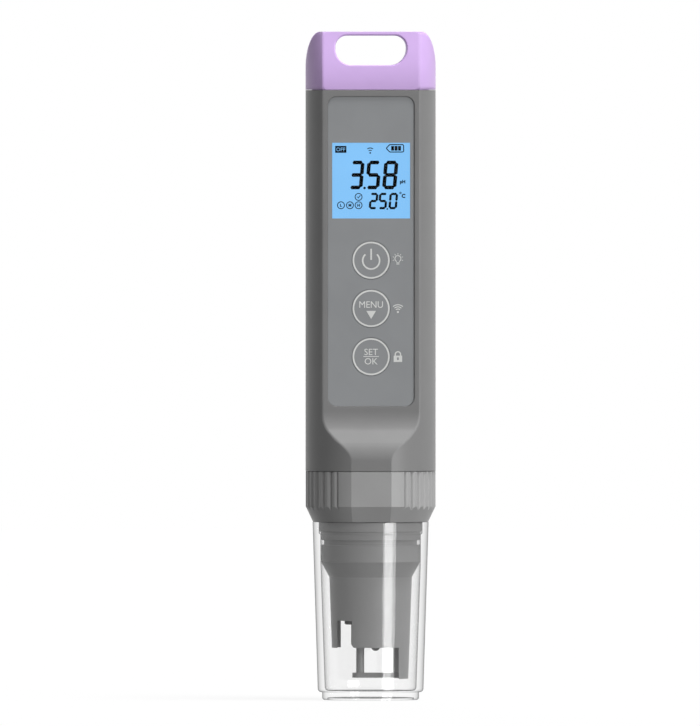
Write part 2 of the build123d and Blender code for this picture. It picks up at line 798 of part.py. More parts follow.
cap_rises = [0, cap_bend / 2, cap_bend, (cap_bend + cap_height) / 2, cap_height]
with BuildPart() as battery_cap:
    for rise in cap_rises:
        squeeze = 1 - cap_drop(rise) / face_depth
        with BuildSketch(Plane.XY.offset(cap_bottom + rise)):
            Ellipse(body_radius, body_radius * squeeze)
            with Locations((0, -face_depth * squeeze - body_radius)):
                Rectangle(2 * reach, 2 * body_radius, mode=Mode.SUBTRACT)
    loft()
    corner_x = body_radius - cap_corner_width
    corner_z = cap_top - cap_corner_height
    with BuildSketch(Plane.XZ.offset(-reach)):
        with BuildLine():
            Line((-corner_x, cap_top), (corner_x, cap_top))
            EllipticalCenterArc(
                (corner_x, corner_z), cap_corner_width, cap_corner_height, start_angle=0, arc_size=90
            )
            EllipticalCenterArc(
                (-corner_x, corner_z), cap_corner_width, cap_corner_height, start_angle=90, arc_size=90
            )
            Polyline(
                (body_radius, corner_z),
                (body_radius, cap_bottom),
                (-body_radius, cap_bottom),
                (-body_radius, corner_z),
            )
        make_face()
    extrude(amount=2 * reach, mode=Mode.INTERSECT)
    with BuildSketch(Plane.XY.offset(body_top - plug_depth)):
        flat_fronted(inner_radius - slide_fit, inner_face - slide_fit)
    extrude(amount=plug_depth + seam)
    with BuildSketch(Plane.XY.offset(body_top - plug_depth)):
        flat_fronted(inner_radius - slide_fit - plug_wall, inner_face - slide_fit - plug_wall)
    extrude(amount=plug_depth + seam + cap_hollow, mode=Mode.SUBTRACT)
    with BuildSketch(Plane.XY.offset(seal_middle - seal_height / 2)):
        flat_fronted(inner_radius, inner_face)
        with BuildSketch(mode=Mode.PRIVATE) as seal_seat:
            flat_fronted(inner_radius - slide_fit - seal_depth, inner_face - slide_fit - seal_depth)
        add(seal_seat.sketch, mode=Mode.SUBTRACT)
    extrude(amount=seal_height, mode=Mode.SUBTRACT)
    with BuildSketch(Plane.XZ.offset(-reach)) as lanyard_slot:
        with Locations((0, slot_middle)):
            Rectangle(slot_width, slot_height)
        fillet(lanyard_slot.vertices().group_by(Axis.Y)[-1], slot_upper_round)
        fillet(lanyard_slot.vertices().group_by(Axis.Y)[0], slot_lower_round)
    extrude(amount=2 * reach, mode=Mode.SUBTRACT)
    slot_rims = battery_cap.edges().filter_by(
        lambda edge: abs(edge.center().Z - slot_middle) <= slot_height / 2 + fit
        and abs(edge.center().X) <= slot_width / 2 + fit and edge.bounding_box().size.Y < slot_upper_round
    )
    fillet(slot_rims, slot_edge_round)
battery_cap.part.label = "battery_cap"
export_step(battery_cap.part, "parts/battery_cap.step")

with BuildPart() as cap_seal:
    with BuildSketch(Plane.XY.offset(seal_middle - seal_height / 2 + fit)):
        flat_fronted(inner_radius - key_fit, inner_face - key_fit)
        with BuildSketch(mode=Mode.PRIVATE) as seal_bore:
            seal_inset = slide_fit + seal_depth - fit
            flat_fronted(inner_radius - seal_inset, inner_face - seal_inset)
        add(seal_bore.sketch, mode=Mode.SUBTRACT)
    extrude(amount=seal_height - 2 * fit)
cap_seal.part.label = "cap_seal"
export_step(cap_seal.part, "parts/cap_seal.step")


# Probe socket in the bulkhead, its contacts, and the board and header that join it to the main board
with BuildPart() as probe_socket:
    with BuildSketch(Plane.XY.offset(socket_bottom)):
        Circle(socket_radius)
    extrude(amount=bulkhead_top - socket_bottom)
    with BuildSketch(Plane.XY.offset(bulkhead_top)):
        Circle(socket_radius + socket_flange)
    extrude(amount=socket_flange_thickness)
    with BuildSketch(Plane.XY.offset(socket_bottom)):
        with PolarLocations(pin_circle, pin_count):
            Circle(pin_radius + key_fit + contact_wall + fit)
    extrude(amount=socket_board_bottom - socket_bottom, mode=Mode.SUBTRACT)
probe_socket.part.label = "probe_socket"
export_step(probe_socket.part, "parts/probe_socket.step")

with BuildPart() as socket_contacts:
    with BuildSketch(Plane.XY.offset(socket_bottom)):
        with PolarLocations(pin_circle, pin_count):
            Circle(pin_radius + key_fit + contact_wall)
            Circle(pin_radius + key_fit, mode=Mode.SUBTRACT)
    extrude(amount=socket_board_bottom - socket_bottom)
socket_contacts.part.label = "socket_contacts"
export_step(socket_contacts.part, "parts/socket_contacts.step")

with BuildPart() as socket_board:
    with BuildSketch(Plane.XY.offset(socket_board_bottom)):
        Circle(socket_radius + socket_flange)
    extrude(amount=disc_board_thickness)
socket_board.part.label = "socket_board"
export_step(socket_board.part, "parts/socket_board.step")

with BuildPart() as board_link:
    with BuildSketch(Plane.XY.offset(socket_board_bottom + disc_board_thickness)):
        with Locations((0, link_depth / 2 - board_back)):
            Rectangle(link_width, link_depth)
    extrude(amount=link_height)
board_link.part.label = "board_link"
export_step(board_link.part, "parts/board_link.step")


# Probe body: barrel, flange, step, sleeve with a ring groove, shoulder and the cut-away guard
with BuildPart() as probe_body:
    with BuildSketch(Plane.XZ):
        with BuildLine():
            Polyline(
                (probe_bore, barrel_top),
                (barrel_radius, barrel_top),
                (barrel_radius, oring_middle + oring_wire + fit),
                (oring_seat, oring_middle + oring_wire + fit),
                (oring_seat, oring_middle - oring_wire - fit),
                (barrel_radius, oring_middle - oring_wire - fit),
                (barrel_radius, flange_top),
                (neck_radius, flange_top),
                (neck_radius, flange_bottom),
                (step_radius, flange_bottom),
                (step_radius, step_bottom),
                (sleeve_radius, step_bottom),
                (sleeve_radius, ring_groove_top),
                (sleeve_radius - ring_groove_depth, ring_groove_top),
                (sleeve_radius - ring_groove_depth, ring_groove_top - ring_groove_height),
                (sleeve_radius, ring_groove_top - ring_groove_height),
                (sleeve_radius, shoulder_top),
                (guard_radius, shoulder_bottom),
                (guard_tip_radius, guard_bottom),
                (guard_tip_radius - guard_wall, guard_bottom),
                (guard_radius - guard_wall, shoulder_bottom),
                (probe_bore, shoulder_bottom + core_shoulder),
                close=True,
            )
        make_face()
    revolve(axis=Axis.Z)
    with BuildSketch(Plane.XY.offset(flange_top)):
        with Locations((0, barrel_radius)):
            Rectangle(guide_width, 2 * guide_height)
        Circle(probe_bore + fit, mode=Mode.SUBTRACT)
    extrude(amount=barrel_height / 2 - oring_wire - 2 * fit)
    for prong_x, leg_x, reach in ((prong_front_x, leg_front_x, 1), (prong_back_x, leg_back_x, -1)):
        with BuildSketch(Plane.XZ) as opening:
            with BuildLine():
                Polyline(
                    (-body_radius, guard_bottom - overcut),
                    (-body_radius, guard_bottom + prong_rise),
                    (prong_x, guard_bottom + prong_rise),
                    (prong_x, notch_top),
                    (notch_x, notch_top),
                    (notch_x, block_bottom),
                    (leg_x, block_bottom),
                    (leg_x, guard_bottom - overcut),
                    close=True,
                )
            make_face()
            fillet(opening.vertices().sort_by_distance((notch_x, block_bottom))[0], block_corner)
        extrude(amount=reach * body_radius, mode=Mode.SUBTRACT)
    bar_bottom = guard_bottom + bar_rise
    leg_inner_x = guard_tip_radius - guard_wall / 2
    with BuildSketch(Plane.XY.offset(bar_bottom)):
        with Locations(((bar_reach + leg_inner_x + bar_width / 2) / 2, 0)):
            SlotOverall(leg_inner_x - bar_reach + bar_width / 2, bar_width)
        Circle(guard_tip_radius - guard_wall / 2, mode=Mode.INTERSECT)
    extrude(amount=bar_thickness)
    with BuildSketch(Plane.XY.offset(bar_bottom + bar_thickness)):
        with Locations((post_x, 0)):
            Circle(post_radius)
    extrude(amount=notch_top - bar_bottom - bar_thickness)
probe_body.part.label = "probe_body"
export_step(probe_body.part, "parts/probe_body.step")


# Electrodes and the core that holds them
with BuildPart() as sensor_core:
    with BuildSketch(Plane.XZ):
        with BuildLine():
            Polyline(
                (0, notch_top),
                (guard_radius - guard_wall - fit - guard_lean * (shoulder_bottom - notch_top), notch_top),
                (guard_radius - guard_wall - fit, shoulder_bottom),
                (probe_bore - fit, shoulder_bottom + core_shoulder),
                (probe_bore - fit, probe_board_bottom),
                (0, probe_board_bottom),
                close=True,
            )
        make_face()
    revolve(axis=Axis.Z)
    with BuildSketch(Plane.XY.offset(notch_top)):
        with Locations((bulb_x, 0)):
            Circle(bulb_stem_radius + fit)
    extrude(amount=bulb_stem_bottom + bulb_stem_length - notch_top + fit, mode=Mode.SUBTRACT)
    with BuildSketch(Plane.XY.offset(notch_top)):
        with Locations((cell_sensor_x, 0)):
            Circle(cell_sensor_radius + fit)
    extrude(amount=sensor_bottom + cell_sensor_length - notch_top + fit, mode=Mode.SUBTRACT)
    with BuildSketch(Plane.XY.offset(notch_top)):
        with Locations((thermistor_x, 0)):
            Circle(thermistor_radius + fit)
    extrude(amount=thermistor_bottom + thermistor_length - notch_top + fit, mode=Mode.SUBTRACT)
    with BuildSketch(Plane.XY.offset(notch_top)):
        with Locations((junction_x, junction_y)):
            Circle(junction_radius + fit)
    extrude(amount=junction_length + fit, mode=Mode.SUBTRACT)
sensor_core.part.label = "sensor_core"
export_step(sensor_core.part, "parts/sensor_core.step")

with BuildPart() as glass_bulb:
    with BuildSketch(Plane.XZ):
        with BuildLine():
            tip_arc = CenterArc(
                (bulb_x, bulb_tip_bottom + bulb_tip_radius), bulb_tip_radius, 270, 90,
            )
            Polyline(
                tip_arc @ 1,
                (bulb_x + bulb_stem_radius, bulb_stem_bottom),
                (bulb_x + bulb_stem_radius, bulb_stem_bottom + bulb_stem_length),
                (bulb_x, bulb_stem_bottom + bulb_stem_length),
                tip_arc @ 0,
            )
        make_face()
    revolve(axis=Axis((bulb_x, 0, 0), (0, 0, 1)))
glass_bulb.part.label = "glass_bulb"
export_step(glass_bulb.part, "parts/glass_bulb.step")

with BuildPart() as conductivity_sensor:
    with BuildSketch(Plane.XY.offset(sensor_bottom)):
        with Locations((cell_sensor_x, 0)):
            Circle(cell_sensor_radius)
    extrude(amount=cell_sensor_length)
    chamfer(conductivity_sensor.edges().sort_by(Axis.Z)[0], cell_sensor_edge)
conductivity_sensor.part.label = "conductivity_sensor"
export_step(conductivity_sensor.part, "parts/conductivity_sensor.step")

with BuildPart() as temperature_sensor:
    with BuildSketch(Plane.XY.offset(thermistor_bottom)):
        with Locations((thermistor_x, 0)):
            Circle(thermistor_radius)
    extrude(amount=thermistor_length)
    fillet(temperature_sensor.edges().sort_by(Axis.Z)[0], thermistor_radius / 2)
temperature_sensor.part.label = "temperature_sensor"
export_step(temperature_sensor.part, "parts/temperature_sensor.step")

with BuildPart() as reference_junction:
    with BuildSketch(Plane.XY.offset(notch_top)):
        with Locations((junction_x, junction_y)):
            Circle(junction_radius)
    extrude(amount=junction_length)
reference_junction.part.label = "reference_junction"
export_step(reference_junction.part, "parts/reference_junction.step")


# Probe's connector: small board, plug, pins, and the two seals
with BuildPart() as probe_board:
    with BuildSketch(Plane.XY.offset(probe_board_bottom)):
        Circle(probe_bore - fit)
        with PolarLocations(pin_circle, pin_count):
            Circle(pin_radius + fit, mode=Mode.SUBTRACT)
    extrude(amount=disc_board_thickness)
probe_board.part.label = "probe_board"
export_step(probe_board.part, "parts/probe_board.step")

with BuildPart() as probe_plug:
    with BuildSketch(Plane.XY.offset(plug_bottom)):
        Circle(probe_bore - fit)
        with PolarLocations(pin_circle, pin_count):
            Circle(pin_radius + fit, mode=Mode.SUBTRACT)
    extrude(amount=plug_thickness)
probe_plug.part.label = "probe_plug"
export_step(probe_plug.part, "parts/probe_plug.step")

with BuildPart() as probe_pins:
    with BuildSketch(Plane.XY.offset(probe_board_bottom)):
        with PolarLocations(pin_circle, pin_count):
            Circle(pin_radius)
    extrude(amount=pin_top - probe_board_bottom)
probe_pins.part.label = "probe_pins"
export_step(probe_pins.part, "parts/probe_pins.step")

with BuildPart() as plug_seal:
    with BuildSketch(Plane.XZ):
        with Locations((oring_seat + fit + oring_wire, oring_middle)):
            Circle(oring_wire)
    revolve(axis=Axis.Z)
plug_seal.part.label = "plug_seal"
export_step(plug_seal.part, "parts/plug_seal.step")

with BuildPart() as collar_gasket:
    with BuildSketch(Plane.XY.offset(flange_top)):
        Circle(neck_radius)
        Circle(barrel_radius + fit, mode=Mode.SUBTRACT)
        with Locations((0, barrel_radius)):
            Rectangle(guide_width + 2 * fit, 2 * guide_height + 2 * fit, mode=Mode.SUBTRACT)
    extrude(amount=gasket_thickness)
collar_gasket.part.label = "collar_gasket"
export_step(collar_gasket.part, "parts/collar_gasket.step")
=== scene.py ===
# %% [markdown]
# # A pocket water tester, dressed for the camera
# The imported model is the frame: every piece of the tester is already in it at its real size and place, in
# metres. This lesson gives each piece the surface that it has on the real tester, adds the figures of the
# display, the printed marks, the screw threads and other details that are too fine for the solid model, and
# lights it as a plain studio picture. Nothing of the frame is moved.

# %% Load the frame
import math
import bmesh
import bpy
import numpy as np
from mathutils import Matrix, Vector


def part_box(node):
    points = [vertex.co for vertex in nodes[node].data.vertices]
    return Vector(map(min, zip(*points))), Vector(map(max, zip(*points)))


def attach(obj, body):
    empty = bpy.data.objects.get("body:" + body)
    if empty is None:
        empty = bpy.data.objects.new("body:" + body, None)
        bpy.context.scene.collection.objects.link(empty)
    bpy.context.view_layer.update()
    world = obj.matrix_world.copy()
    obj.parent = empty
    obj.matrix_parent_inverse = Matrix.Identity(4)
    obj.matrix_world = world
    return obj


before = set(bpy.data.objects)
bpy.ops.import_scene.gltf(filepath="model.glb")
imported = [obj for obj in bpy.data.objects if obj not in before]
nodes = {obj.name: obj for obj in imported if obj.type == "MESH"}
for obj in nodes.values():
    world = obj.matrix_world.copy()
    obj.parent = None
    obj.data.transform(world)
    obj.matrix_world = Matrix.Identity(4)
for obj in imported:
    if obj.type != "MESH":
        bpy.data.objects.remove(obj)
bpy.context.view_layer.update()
MM = 0.001

# %% [markdown]
# The camera stands far away with a long lens, so the picture has almost no perspective, as in a catalogue
# picture. One pixel of the 700 by 726 picture is 0.2844 mm on the tester. The tester's axis is a little
# right of the middle, so the camera looks at a point left of it. It turns less than a degree to the left
# and looks down by about half a degree.

# %% Camera
picture_width, picture_height = 700, 726
pixel = 0.2844 * MM
axis_column = 370.6
floor_row = 699.8
camera_distance = 8.0
camera_turn = math.radians(-0.7)
camera_rise = math.radians(0.6)

aim = Vector(((picture_width / 2 - axis_column) * pixel, 0, (floor_row - picture_height / 2) * pixel))
backwards = Vector((
    math.sin(camera_turn) * math.cos(camera_rise),
    -math.cos(camera_turn) * math.cos(camera_rise),
    math.sin(camera_rise),
))
camera_data = bpy.data.cameras.new("camera")
camera = bpy.data.objects.new("camera", camera_data)
bpy.context.scene.collection.objects.link(camera)
camera_data.sensor_width = 36
camera_data.lens = camera_data.sensor_width * camera_distance / (picture_height * pixel)
camera_data.clip_end = 20
camera.location = aim + backwards * camera_distance
camera.rotation_euler = backwards.to_track_quat("Z", "Y").to_euler()
bpy.context.scene.camera = camera
bpy.context.scene.view_settings.view_transform = "Standard"
print("lens", round(camera_data.lens), "mm, looking at", tuple(round(v / MM, 1) for v in aim))

# %% [markdown]
# Every material is a small graph of nodes round one Principled shader. Four helpers keep it short: one
# turns a hex colour as it is seen on a screen into the linear numbers that the shader wants, one adds any
# node with its settings and links, one starts a material with its shader, and one puts a material on a node
# of the frame in place of its plain one.

# %% Material helpers
def linear(hex_colour, share=1.0):
    """The linear RGBA of an sRGB hex colour, times a share: the sRGB curve is undone for each channel."""
    channels = [int(hex_colour[i:i + 2], 16) / 255 for i in (1, 3, 5)]
    curve = [c / 12.92 if c <= 0.04045 else ((c + 0.055) / 1.055) ** 2.4 for c in channels]
    return (*(c * share for c in curve), 1.0)


def add_node(material, kind, settings=(), **links):
    """Adds a node. Settings are attribute or input names with values, links are input names with sockets."""
    node = material.node_tree.nodes.new(kind)
    for name, value in dict(settings).items():
        if name in node.inputs:
            node.inputs[name].default_value = value
        else:
            setattr(node, name, value)
    for name, socket in links.items():
        material.node_tree.links.new(socket, node.inputs[name.replace("_", " ")])
    return node


def start_material(name, **settings):
    """A new material and its Principled shader, with settings by the shader's own input names."""
    material = bpy.data.materials.new(name)
    material.use_nodes = True
    shader = material.node_tree.nodes["Principled BSDF"]
    for label, value in settings.items():
        shader.inputs[label.replace("_", " ")].default_value = value
    return material, shader


def dress(material, *node_names):
    """Gives nodes of the frame this material in place of their plain one."""
    for node_name in node_names:
        mesh = nodes[node_name].data
        mesh.materials.clear()
        mesh.materials.append(material)

# %% [markdown]
# The housing, cap, collar and probe are injection-moulded ABS. A moulded part is one colour all through.
# Its spark-eroded mould leaves a fine grain of about a tenth of a millimetre that breaks up the gloss, and
# the flow of the plastic leaves a faint unevenness of tone. The grain is drawn a little coarser than it is,
# so that it shows in a picture of the whole tester. A mould can't make a knife-sharp edge, and the thin
# line of light along each rounded edge is what makes it look moulded, so a Bevel node rounds the shading
# there without touching the frame's mesh.

# %% Moulded plastic
def moulded_plastic(name, hex_colour, roughness, grain_mm=0.25, grain_depth=0.012, tone_shift=0.02,
                    edge_mm=0.0, shine=0.18):
    """Moulded thermoplastic: a base colour shifted slightly by a soft noise, a fine noise as bump and in the
    roughness, and edges rounded by edge_mm in the shading."""
    material, shader = start_material(name, IOR=1.53, Specular_IOR_Level=shine)
    links = material.node_tree.links
    place = add_node(material, "ShaderNodeTexCoord").outputs["Object"]
    cloud = add_node(material, "ShaderNodeTexNoise", {"Scale": 1 / (9 * MM), "Detail": 2.0}, Vector=place)
    ramp = add_node(material, "ShaderNodeValToRGB", Fac=cloud.outputs["Fac"])
    for stop, share, at in zip(ramp.color_ramp.elements, (1 - tone_shift, 1 + tone_shift), (0.35, 0.65)):
        stop.position = at
        stop.color = linear(hex_colour, share)
    links.new(ramp.outputs["Color"], shader.inputs["Base Color"])
    grain = add_node(
        material, "ShaderNodeTexNoise", {"Scale": 1 / (grain_mm * MM), "Detail": 1.0}, Vector=place
    )
    spread = add_node(
        material, "ShaderNodeMapRange",
        {"From Min": 0.3, "From Max": 0.7, "To Min": roughness - 0.04, "To Max": roughness + 0.04},
        Value=grain.outputs["Fac"],
    )
    links.new(spread.outputs["Result"], shader.inputs["Roughness"])
    bump = add_node(
        material, "ShaderNodeBump", {"Strength": 0.3, "Distance": grain_depth * MM},
        Height=grain.outputs["Fac"],
    )
    if edge_mm:
        rounded = add_node(material, "ShaderNodeBevel", {"samples": 4, "Radius": edge_mm * MM})
        links.new(rounded.outputs["Normal"], bump.inputs["Normal"])
    links.new(bump.outputs["Normal"], shader.inputs["Normal"])
    return material


body_plastic = moulded_plastic("moulded_abs_dark_grey", "#787878", 0.42, edge_mm=0.45, shine=0.22)
collar_plastic = moulded_plastic("moulded_abs_mid_grey", "#999999", 0.4, edge_mm=0.2)
cap_plastic = moulded_plastic("moulded_abs_lilac", "#c5a6db", 0.4, edge_mm=0.25, shine=0.3)
probe_plastic = moulded_plastic("moulded_abs_probe_grey", "#8b8b8b", 0.42, edge_mm=0.15)
core_plastic = moulded_plastic("moulded_abs_core_grey", "#6f6f6f", 0.5)
dress(body_plastic, "housing_shell")
dress(collar_plastic, "screw_collar")
dress(cap_plastic, "battery_cap")
dress(probe_plastic, "probe_body")
dress(core_plastic, "sensor_core")
print("plastics", [m.name for m in (body_plastic, collar_plastic, cap_plastic, probe_plastic, core_plastic)])

# %% [markdown]
# The cap's outer edges are much rounder than the edges of its slot. A Bevel node takes its radius from a
# socket, so here the radius follows the distance from the middle: small as far as the slot reaches, and
# large beyond it.

# %% Edges of the cap
outer_edge_from = 12.5 * MM
slot_edge_radius, outer_edge_radius = 0.25 * MM, 1.5 * MM
place = add_node(cap_plastic, "ShaderNodeTexCoord").outputs["Object"]
sideways = add_node(cap_plastic, "ShaderNodeSeparateXYZ", Vector=place).outputs["X"]
reach = add_node(cap_plastic, "ShaderNodeMath", {"operation": "ABSOLUTE"}, Value=sideways)
edge_radius = add_node(
    cap_plastic, "ShaderNodeMapRange",
    {"From Min": outer_edge_from, "From Max": outer_edge_from + 1 * MM, "To Min": slot_edge_radius,
     "To Max": outer_edge_radius},
    Value=reach.outputs["Value"],
)
rounding = next(node for node in cap_plastic.node_tree.nodes if node.type == "BEVEL")
cap_plastic.node_tree.links.new(edge_radius.outputs["Result"], rounding.inputs["Radius"])
print("cap edges", slot_edge_radius / MM, "to", outer_edge_radius / MM, "mm")

# %% [markdown]
# The label on the front is a sheet of polyester film, screen-printed on its back and embossed with a very
# fine matt texture, so it looks softer than the moulded housing round it. The three keys are domes pressed
# into the same film.

# %% Label film
label_film = moulded_plastic(
    "screen_printed_polyester_film", "#8b8d8f", 0.55, grain_mm=0.12, grain_depth=0.006
)
dress(label_film, "overlay_panel", "power_key", "menu_key", "enter_key")
print("film on", ["overlay_panel", "power_key", "menu_key", "enter_key"])

# %% [markdown]
# The cup is moulded in clear polystyrene. A clear wall shows itself by two things only: the edges of each of
# its faces go grey where the eye looks along them, and its gloss mirrors the lamps. Real refraction would
# also bend the picture of the probe, which hardly shows on a thin wall. So the wall is a Transparent shader
# with a painted shade: Layer Weight darkens its colour towards the outline, in place of the grey that
# refraction gives there. Over it lies a thin gloss that grows towards the edges as Fresnel's law has it. The
# display's window is acrylic with an anti-glare coat and is built the same way.

# %% Clear plastics
def clear_plastic(name, tint, painted_edge_shade, edge_power, roughness, mirrored, mirrored_edge):
    """A clear wall: what is behind shows through a tint that turns into painted_edge_shade at the wall's
    outline, a painted shade in place of the grey that refraction gives there. A thin mirror of the
    surroundings lies over it, which grows from mirrored to mirrored_edge at the outline. Both changes follow
    one minus the cosine of the viewing angle,
    raised to a power: edge_power and 5."""
    material, shader = start_material(name)
    tree = material.node_tree
    facing = add_node(material, "ShaderNodeLayerWeight", {"Blend": 0.5}).outputs["Facing"]
    outline = add_node(material, "ShaderNodeMath", {"operation": "POWER"})
    tree.links.new(facing, outline.inputs[0])
    outline.inputs[1].default_value = edge_power
    # Painted shade: the see-through colour darkens towards the wall's outline by viewing angle.
    shade = add_node(material, "ShaderNodeMix", {"data_type": "RGBA"})
    colours = [socket for socket in shade.inputs if socket.type == "RGBA"]
    colours[0].default_value = linear(tint)
    colours[1].default_value = linear(painted_edge_shade)
    tree.links.new(outline.outputs["Value"], shade.inputs["Factor"])
    result = next(socket for socket in shade.outputs if socket.type == "RGBA")
    through = add_node(material, "ShaderNodeBsdfTransparent", Color=result)
    mirror = add_node(
        material, "ShaderNodeBsdfAnisotropic", {"Roughness": roughness, "Color": linear("#ffffff")}
    )
    grazing = add_node(material, "ShaderNodeMath", {"operation": "POWER"})
    tree.links.new(facing, grazing.inputs[0])
    grazing.inputs[1].default_value = 5.0
    share = add_node(
        material, "ShaderNodeMapRange", {"To Min": mirrored, "To Max": mirrored_edge},
        Value=grazing.outputs["Value"],
    )
    wall = add_node(material, "ShaderNodeMixShader", Fac=share.outputs["Result"])
    tree.links.new(through.outputs["BSDF"], wall.inputs[1])
    tree.links.new(mirror.outputs["BSDF"], wall.inputs[2])
    tree.nodes.remove(shader)
    tree.links.new(wall.outputs["Shader"], tree.nodes["Material Output"].inputs["Surface"])
    return material


# The second colour of each clear plastic is painted shade along its outline, standing in for refraction.
cup_clear = clear_plastic("moulded_clear_polystyrene", "#fcfcfc", "#4a4c4e", 5.0, 0.03, 0.035, 0.15)
window_clear = clear_plastic("hard_coated_clear_acrylic", "#ffffff", "#c8ccd0", 7.0, 0.02, 0.004, 0.2)
dress(cup_clear, "storage_cup")
dress(window_clear, "display_window")
print("clear", cup_clear.name, window_clear.name)

# %% [markdown]
# The display is a liquid crystal cell with a blue backlight behind it. The eye sees an even pale blue field
# with black figures, and the light comes from inside, so the field glows by itself. The light guide is
# not perfectly even, which a very soft noise gives.

# %% Display glass
lcd_blue, shader = start_material(
    "backlit_liquid_crystal_glass", Base_Color=linear("#101820"), Roughness=0.25, IOR=1.45,
    Specular_IOR_Level=0.2, Emission_Strength=0.96,
)
place = add_node(lcd_blue, "ShaderNodeTexCoord").outputs["Object"]
evenness = add_node(lcd_blue, "ShaderNodeTexNoise", {"Scale": 1 / (14 * MM), "Detail": 1.0}, Vector=place)
glow = add_node(lcd_blue, "ShaderNodeValToRGB", Fac=evenness.outputs["Fac"])
for stop, share, at in zip(glow.color_ramp.elements, (0.985, 1.015), (0.35, 0.65)):
    stop.position = at
    stop.color = linear("#84c6fc", share)
lcd_blue.node_tree.links.new(glow.outputs["Color"], shader.inputs["Emission Color"])
dress(lcd_blue, "lcd_panel")
guide_white = moulded_plastic("frosted_acrylic_light_guide", "#e6edf2", 0.5)
dress(guide_white, "lcd_backlight")
print("display", lcd_blue.name)

# %% [markdown]
# Seals are black nitrile rubber, which is matt and has a faint grey bloom. The battery holder, sockets and
# switches are black glass-filled nylon and the chip is black epoxy, with a slightly sparkling grain.

# %% Rubber and black plastics
seal_rubber = moulded_plastic("moulded_nitrile_rubber", "#232323", 0.7, grain_mm=0.4, tone_shift=0.12)
nylon_black = moulded_plastic("glass_filled_nylon_black", "#262626", 0.5, grain_mm=0.3, grain_depth=0.02)
chip_epoxy = moulded_plastic("moulded_epoxy_black", "#1e1f21", 0.42, grain_mm=0.15)
sensor_black = moulded_plastic("graphite_filled_epoxy", "#161616", 0.35, grain_mm=0.2)
dress(seal_rubber, "cap_seal", "plug_seal", "collar_gasket")
dress(
    nylon_black, "battery_holder", "battery_slip", "probe_socket", "probe_plug", "board_link", "key_switches"
)
dress(chip_epoxy, "processor_chip")
dress(sensor_black, "conductivity_sensor")
print("black", [m.name for m in (seal_rubber, nylon_black, chip_epoxy, sensor_black)])

# %% [markdown]
# The metals differ by colour and by how they were made. Steel screws and the radio's shield are plated and
# brushed, the thermometer sleeve is turned stainless steel, and springs, pins and contacts are drawn or
# stamped. A metal's colour sits in its reflection, and drawing or turning leaves fine lines round or along
# it, which a noise stretched a hundred times in one direction gives.

# %% Metals
def worked_metal(name, hex_colour, roughness, line_mm, stretch):
    """A metal with fine tool lines: a noise with Object coordinates scaled by stretch drives the bump."""
    material, shader = start_material(name, Metallic=1.0, Base_Color=linear(hex_colour))
    links = material.node_tree.links
    place = add_node(material, "ShaderNodeTexCoord").outputs["Object"]
    drawn = add_node(material, "ShaderNodeMapping", {"Scale": stretch}, Vector=place)
    lines = add_node(
        material, "ShaderNodeTexNoise", {"Scale": 1 / (line_mm * MM), "Detail": 2.0},
        Vector=drawn.outputs["Vector"],
    )
    spread = add_node(
        material, "ShaderNodeMapRange",
        {"From Min": 0.3, "From Max": 0.7, "To Min": roughness - 0.06, "To Max": roughness + 0.08},
        Value=lines.outputs["Fac"],
    )
    links.new(spread.outputs["Result"], shader.inputs["Roughness"])
    bump = add_node(
        material, "ShaderNodeBump", {"Strength": 0.25, "Distance": 0.01 * MM}, Height=lines.outputs["Fac"]
    )
    links.new(bump.outputs["Normal"], shader.inputs["Normal"])
    return material


zinc_steel = worked_metal("zinc_plated_steel", "#b9bcc0", 0.3, 0.3, (1, 1, 1))
shield_tin = worked_metal("brushed_tinned_steel", "#c6c8ca", 0.32, 0.2, (0.02, 1, 1))
spring_steel = worked_metal("drawn_nickel_plated_wire", "#cfccc4", 0.22, 0.2, (1, 1, 1))
contact_gold = worked_metal("gold_plated_brass", "#e3bd6b", 0.24, 0.2, (1, 1, 0.05))
sleeve_steel = worked_metal("turned_stainless_steel", "#bfbfbd", 0.26, 0.15, (0.05, 0.05, 1))
dress(zinc_steel, "board_screws", "holder_screws")
dress(shield_tin, "radio_module")
dress(spring_steel, "cell_springs")
dress(contact_gold, "spring_plates", "slip_contacts", "socket_contacts", "probe_pins")
dress(sleeve_steel, "temperature_sensor")
print("metals", [m.name for m in (zinc_steel, shield_tin, spring_steel, contact_gold, sleeve_steel)])

# %% [markdown]
# The circuit boards are woven glass and epoxy under a green solder mask. Copper tracks under the mask show
# as slightly paler lines. A Brick texture with thin joints looks like tracks that run in steps, and a Wave
# texture of a quarter of a millimetre gives the glass weave.

# %% Circuit boards
board_green, shader = start_material("solder_masked_glass_epoxy", Roughness=0.3, IOR=1.5)
links = board_green.node_tree.links
place = add_node(board_green, "ShaderNodeTexCoord").outputs["Object"]
upright = add_node(board_green, "ShaderNodeMapping", {"Rotation": (math.pi / 2, 0, 0)}, Vector=place)
tracks = add_node(
    board_green, "ShaderNodeTexBrick",
    {"Scale": 1.0, "Color1": linear("#0f5a34"), "Color2": linear("#0d5230"), "Mortar": linear("#2b8a58"),
     "Brick Width": 4 * MM, "Row Height": 1.1 * MM, "Mortar Size": 0.12 * MM},
    Vector=upright.outputs["Vector"],
)
links.new(tracks.outputs["Color"], shader.inputs["Base Color"])
weave = add_node(board_green, "ShaderNodeTexWave", {"Scale": 1 / (0.8 * MM), "Distortion": 1.0}, Vector=place)
bump = add_node(
    board_green, "ShaderNodeBump", {"Strength": 0.2, "Distance": 0.01 * MM}, Height=weave.outputs["Fac"]
)
links.new(bump.outputs["Normal"], shader.inputs["Normal"])
dress(board_green, "main_board", "socket_board", "probe_board")
print("boards", board_green.name)

# %% [markdown]
# The strips that join the display to the board are silicone rubber with thin carbon layers across them, a
# zebra pattern. The real layers are 0.05 mm apart, too fine to show, so they are drawn 0.4 mm apart.

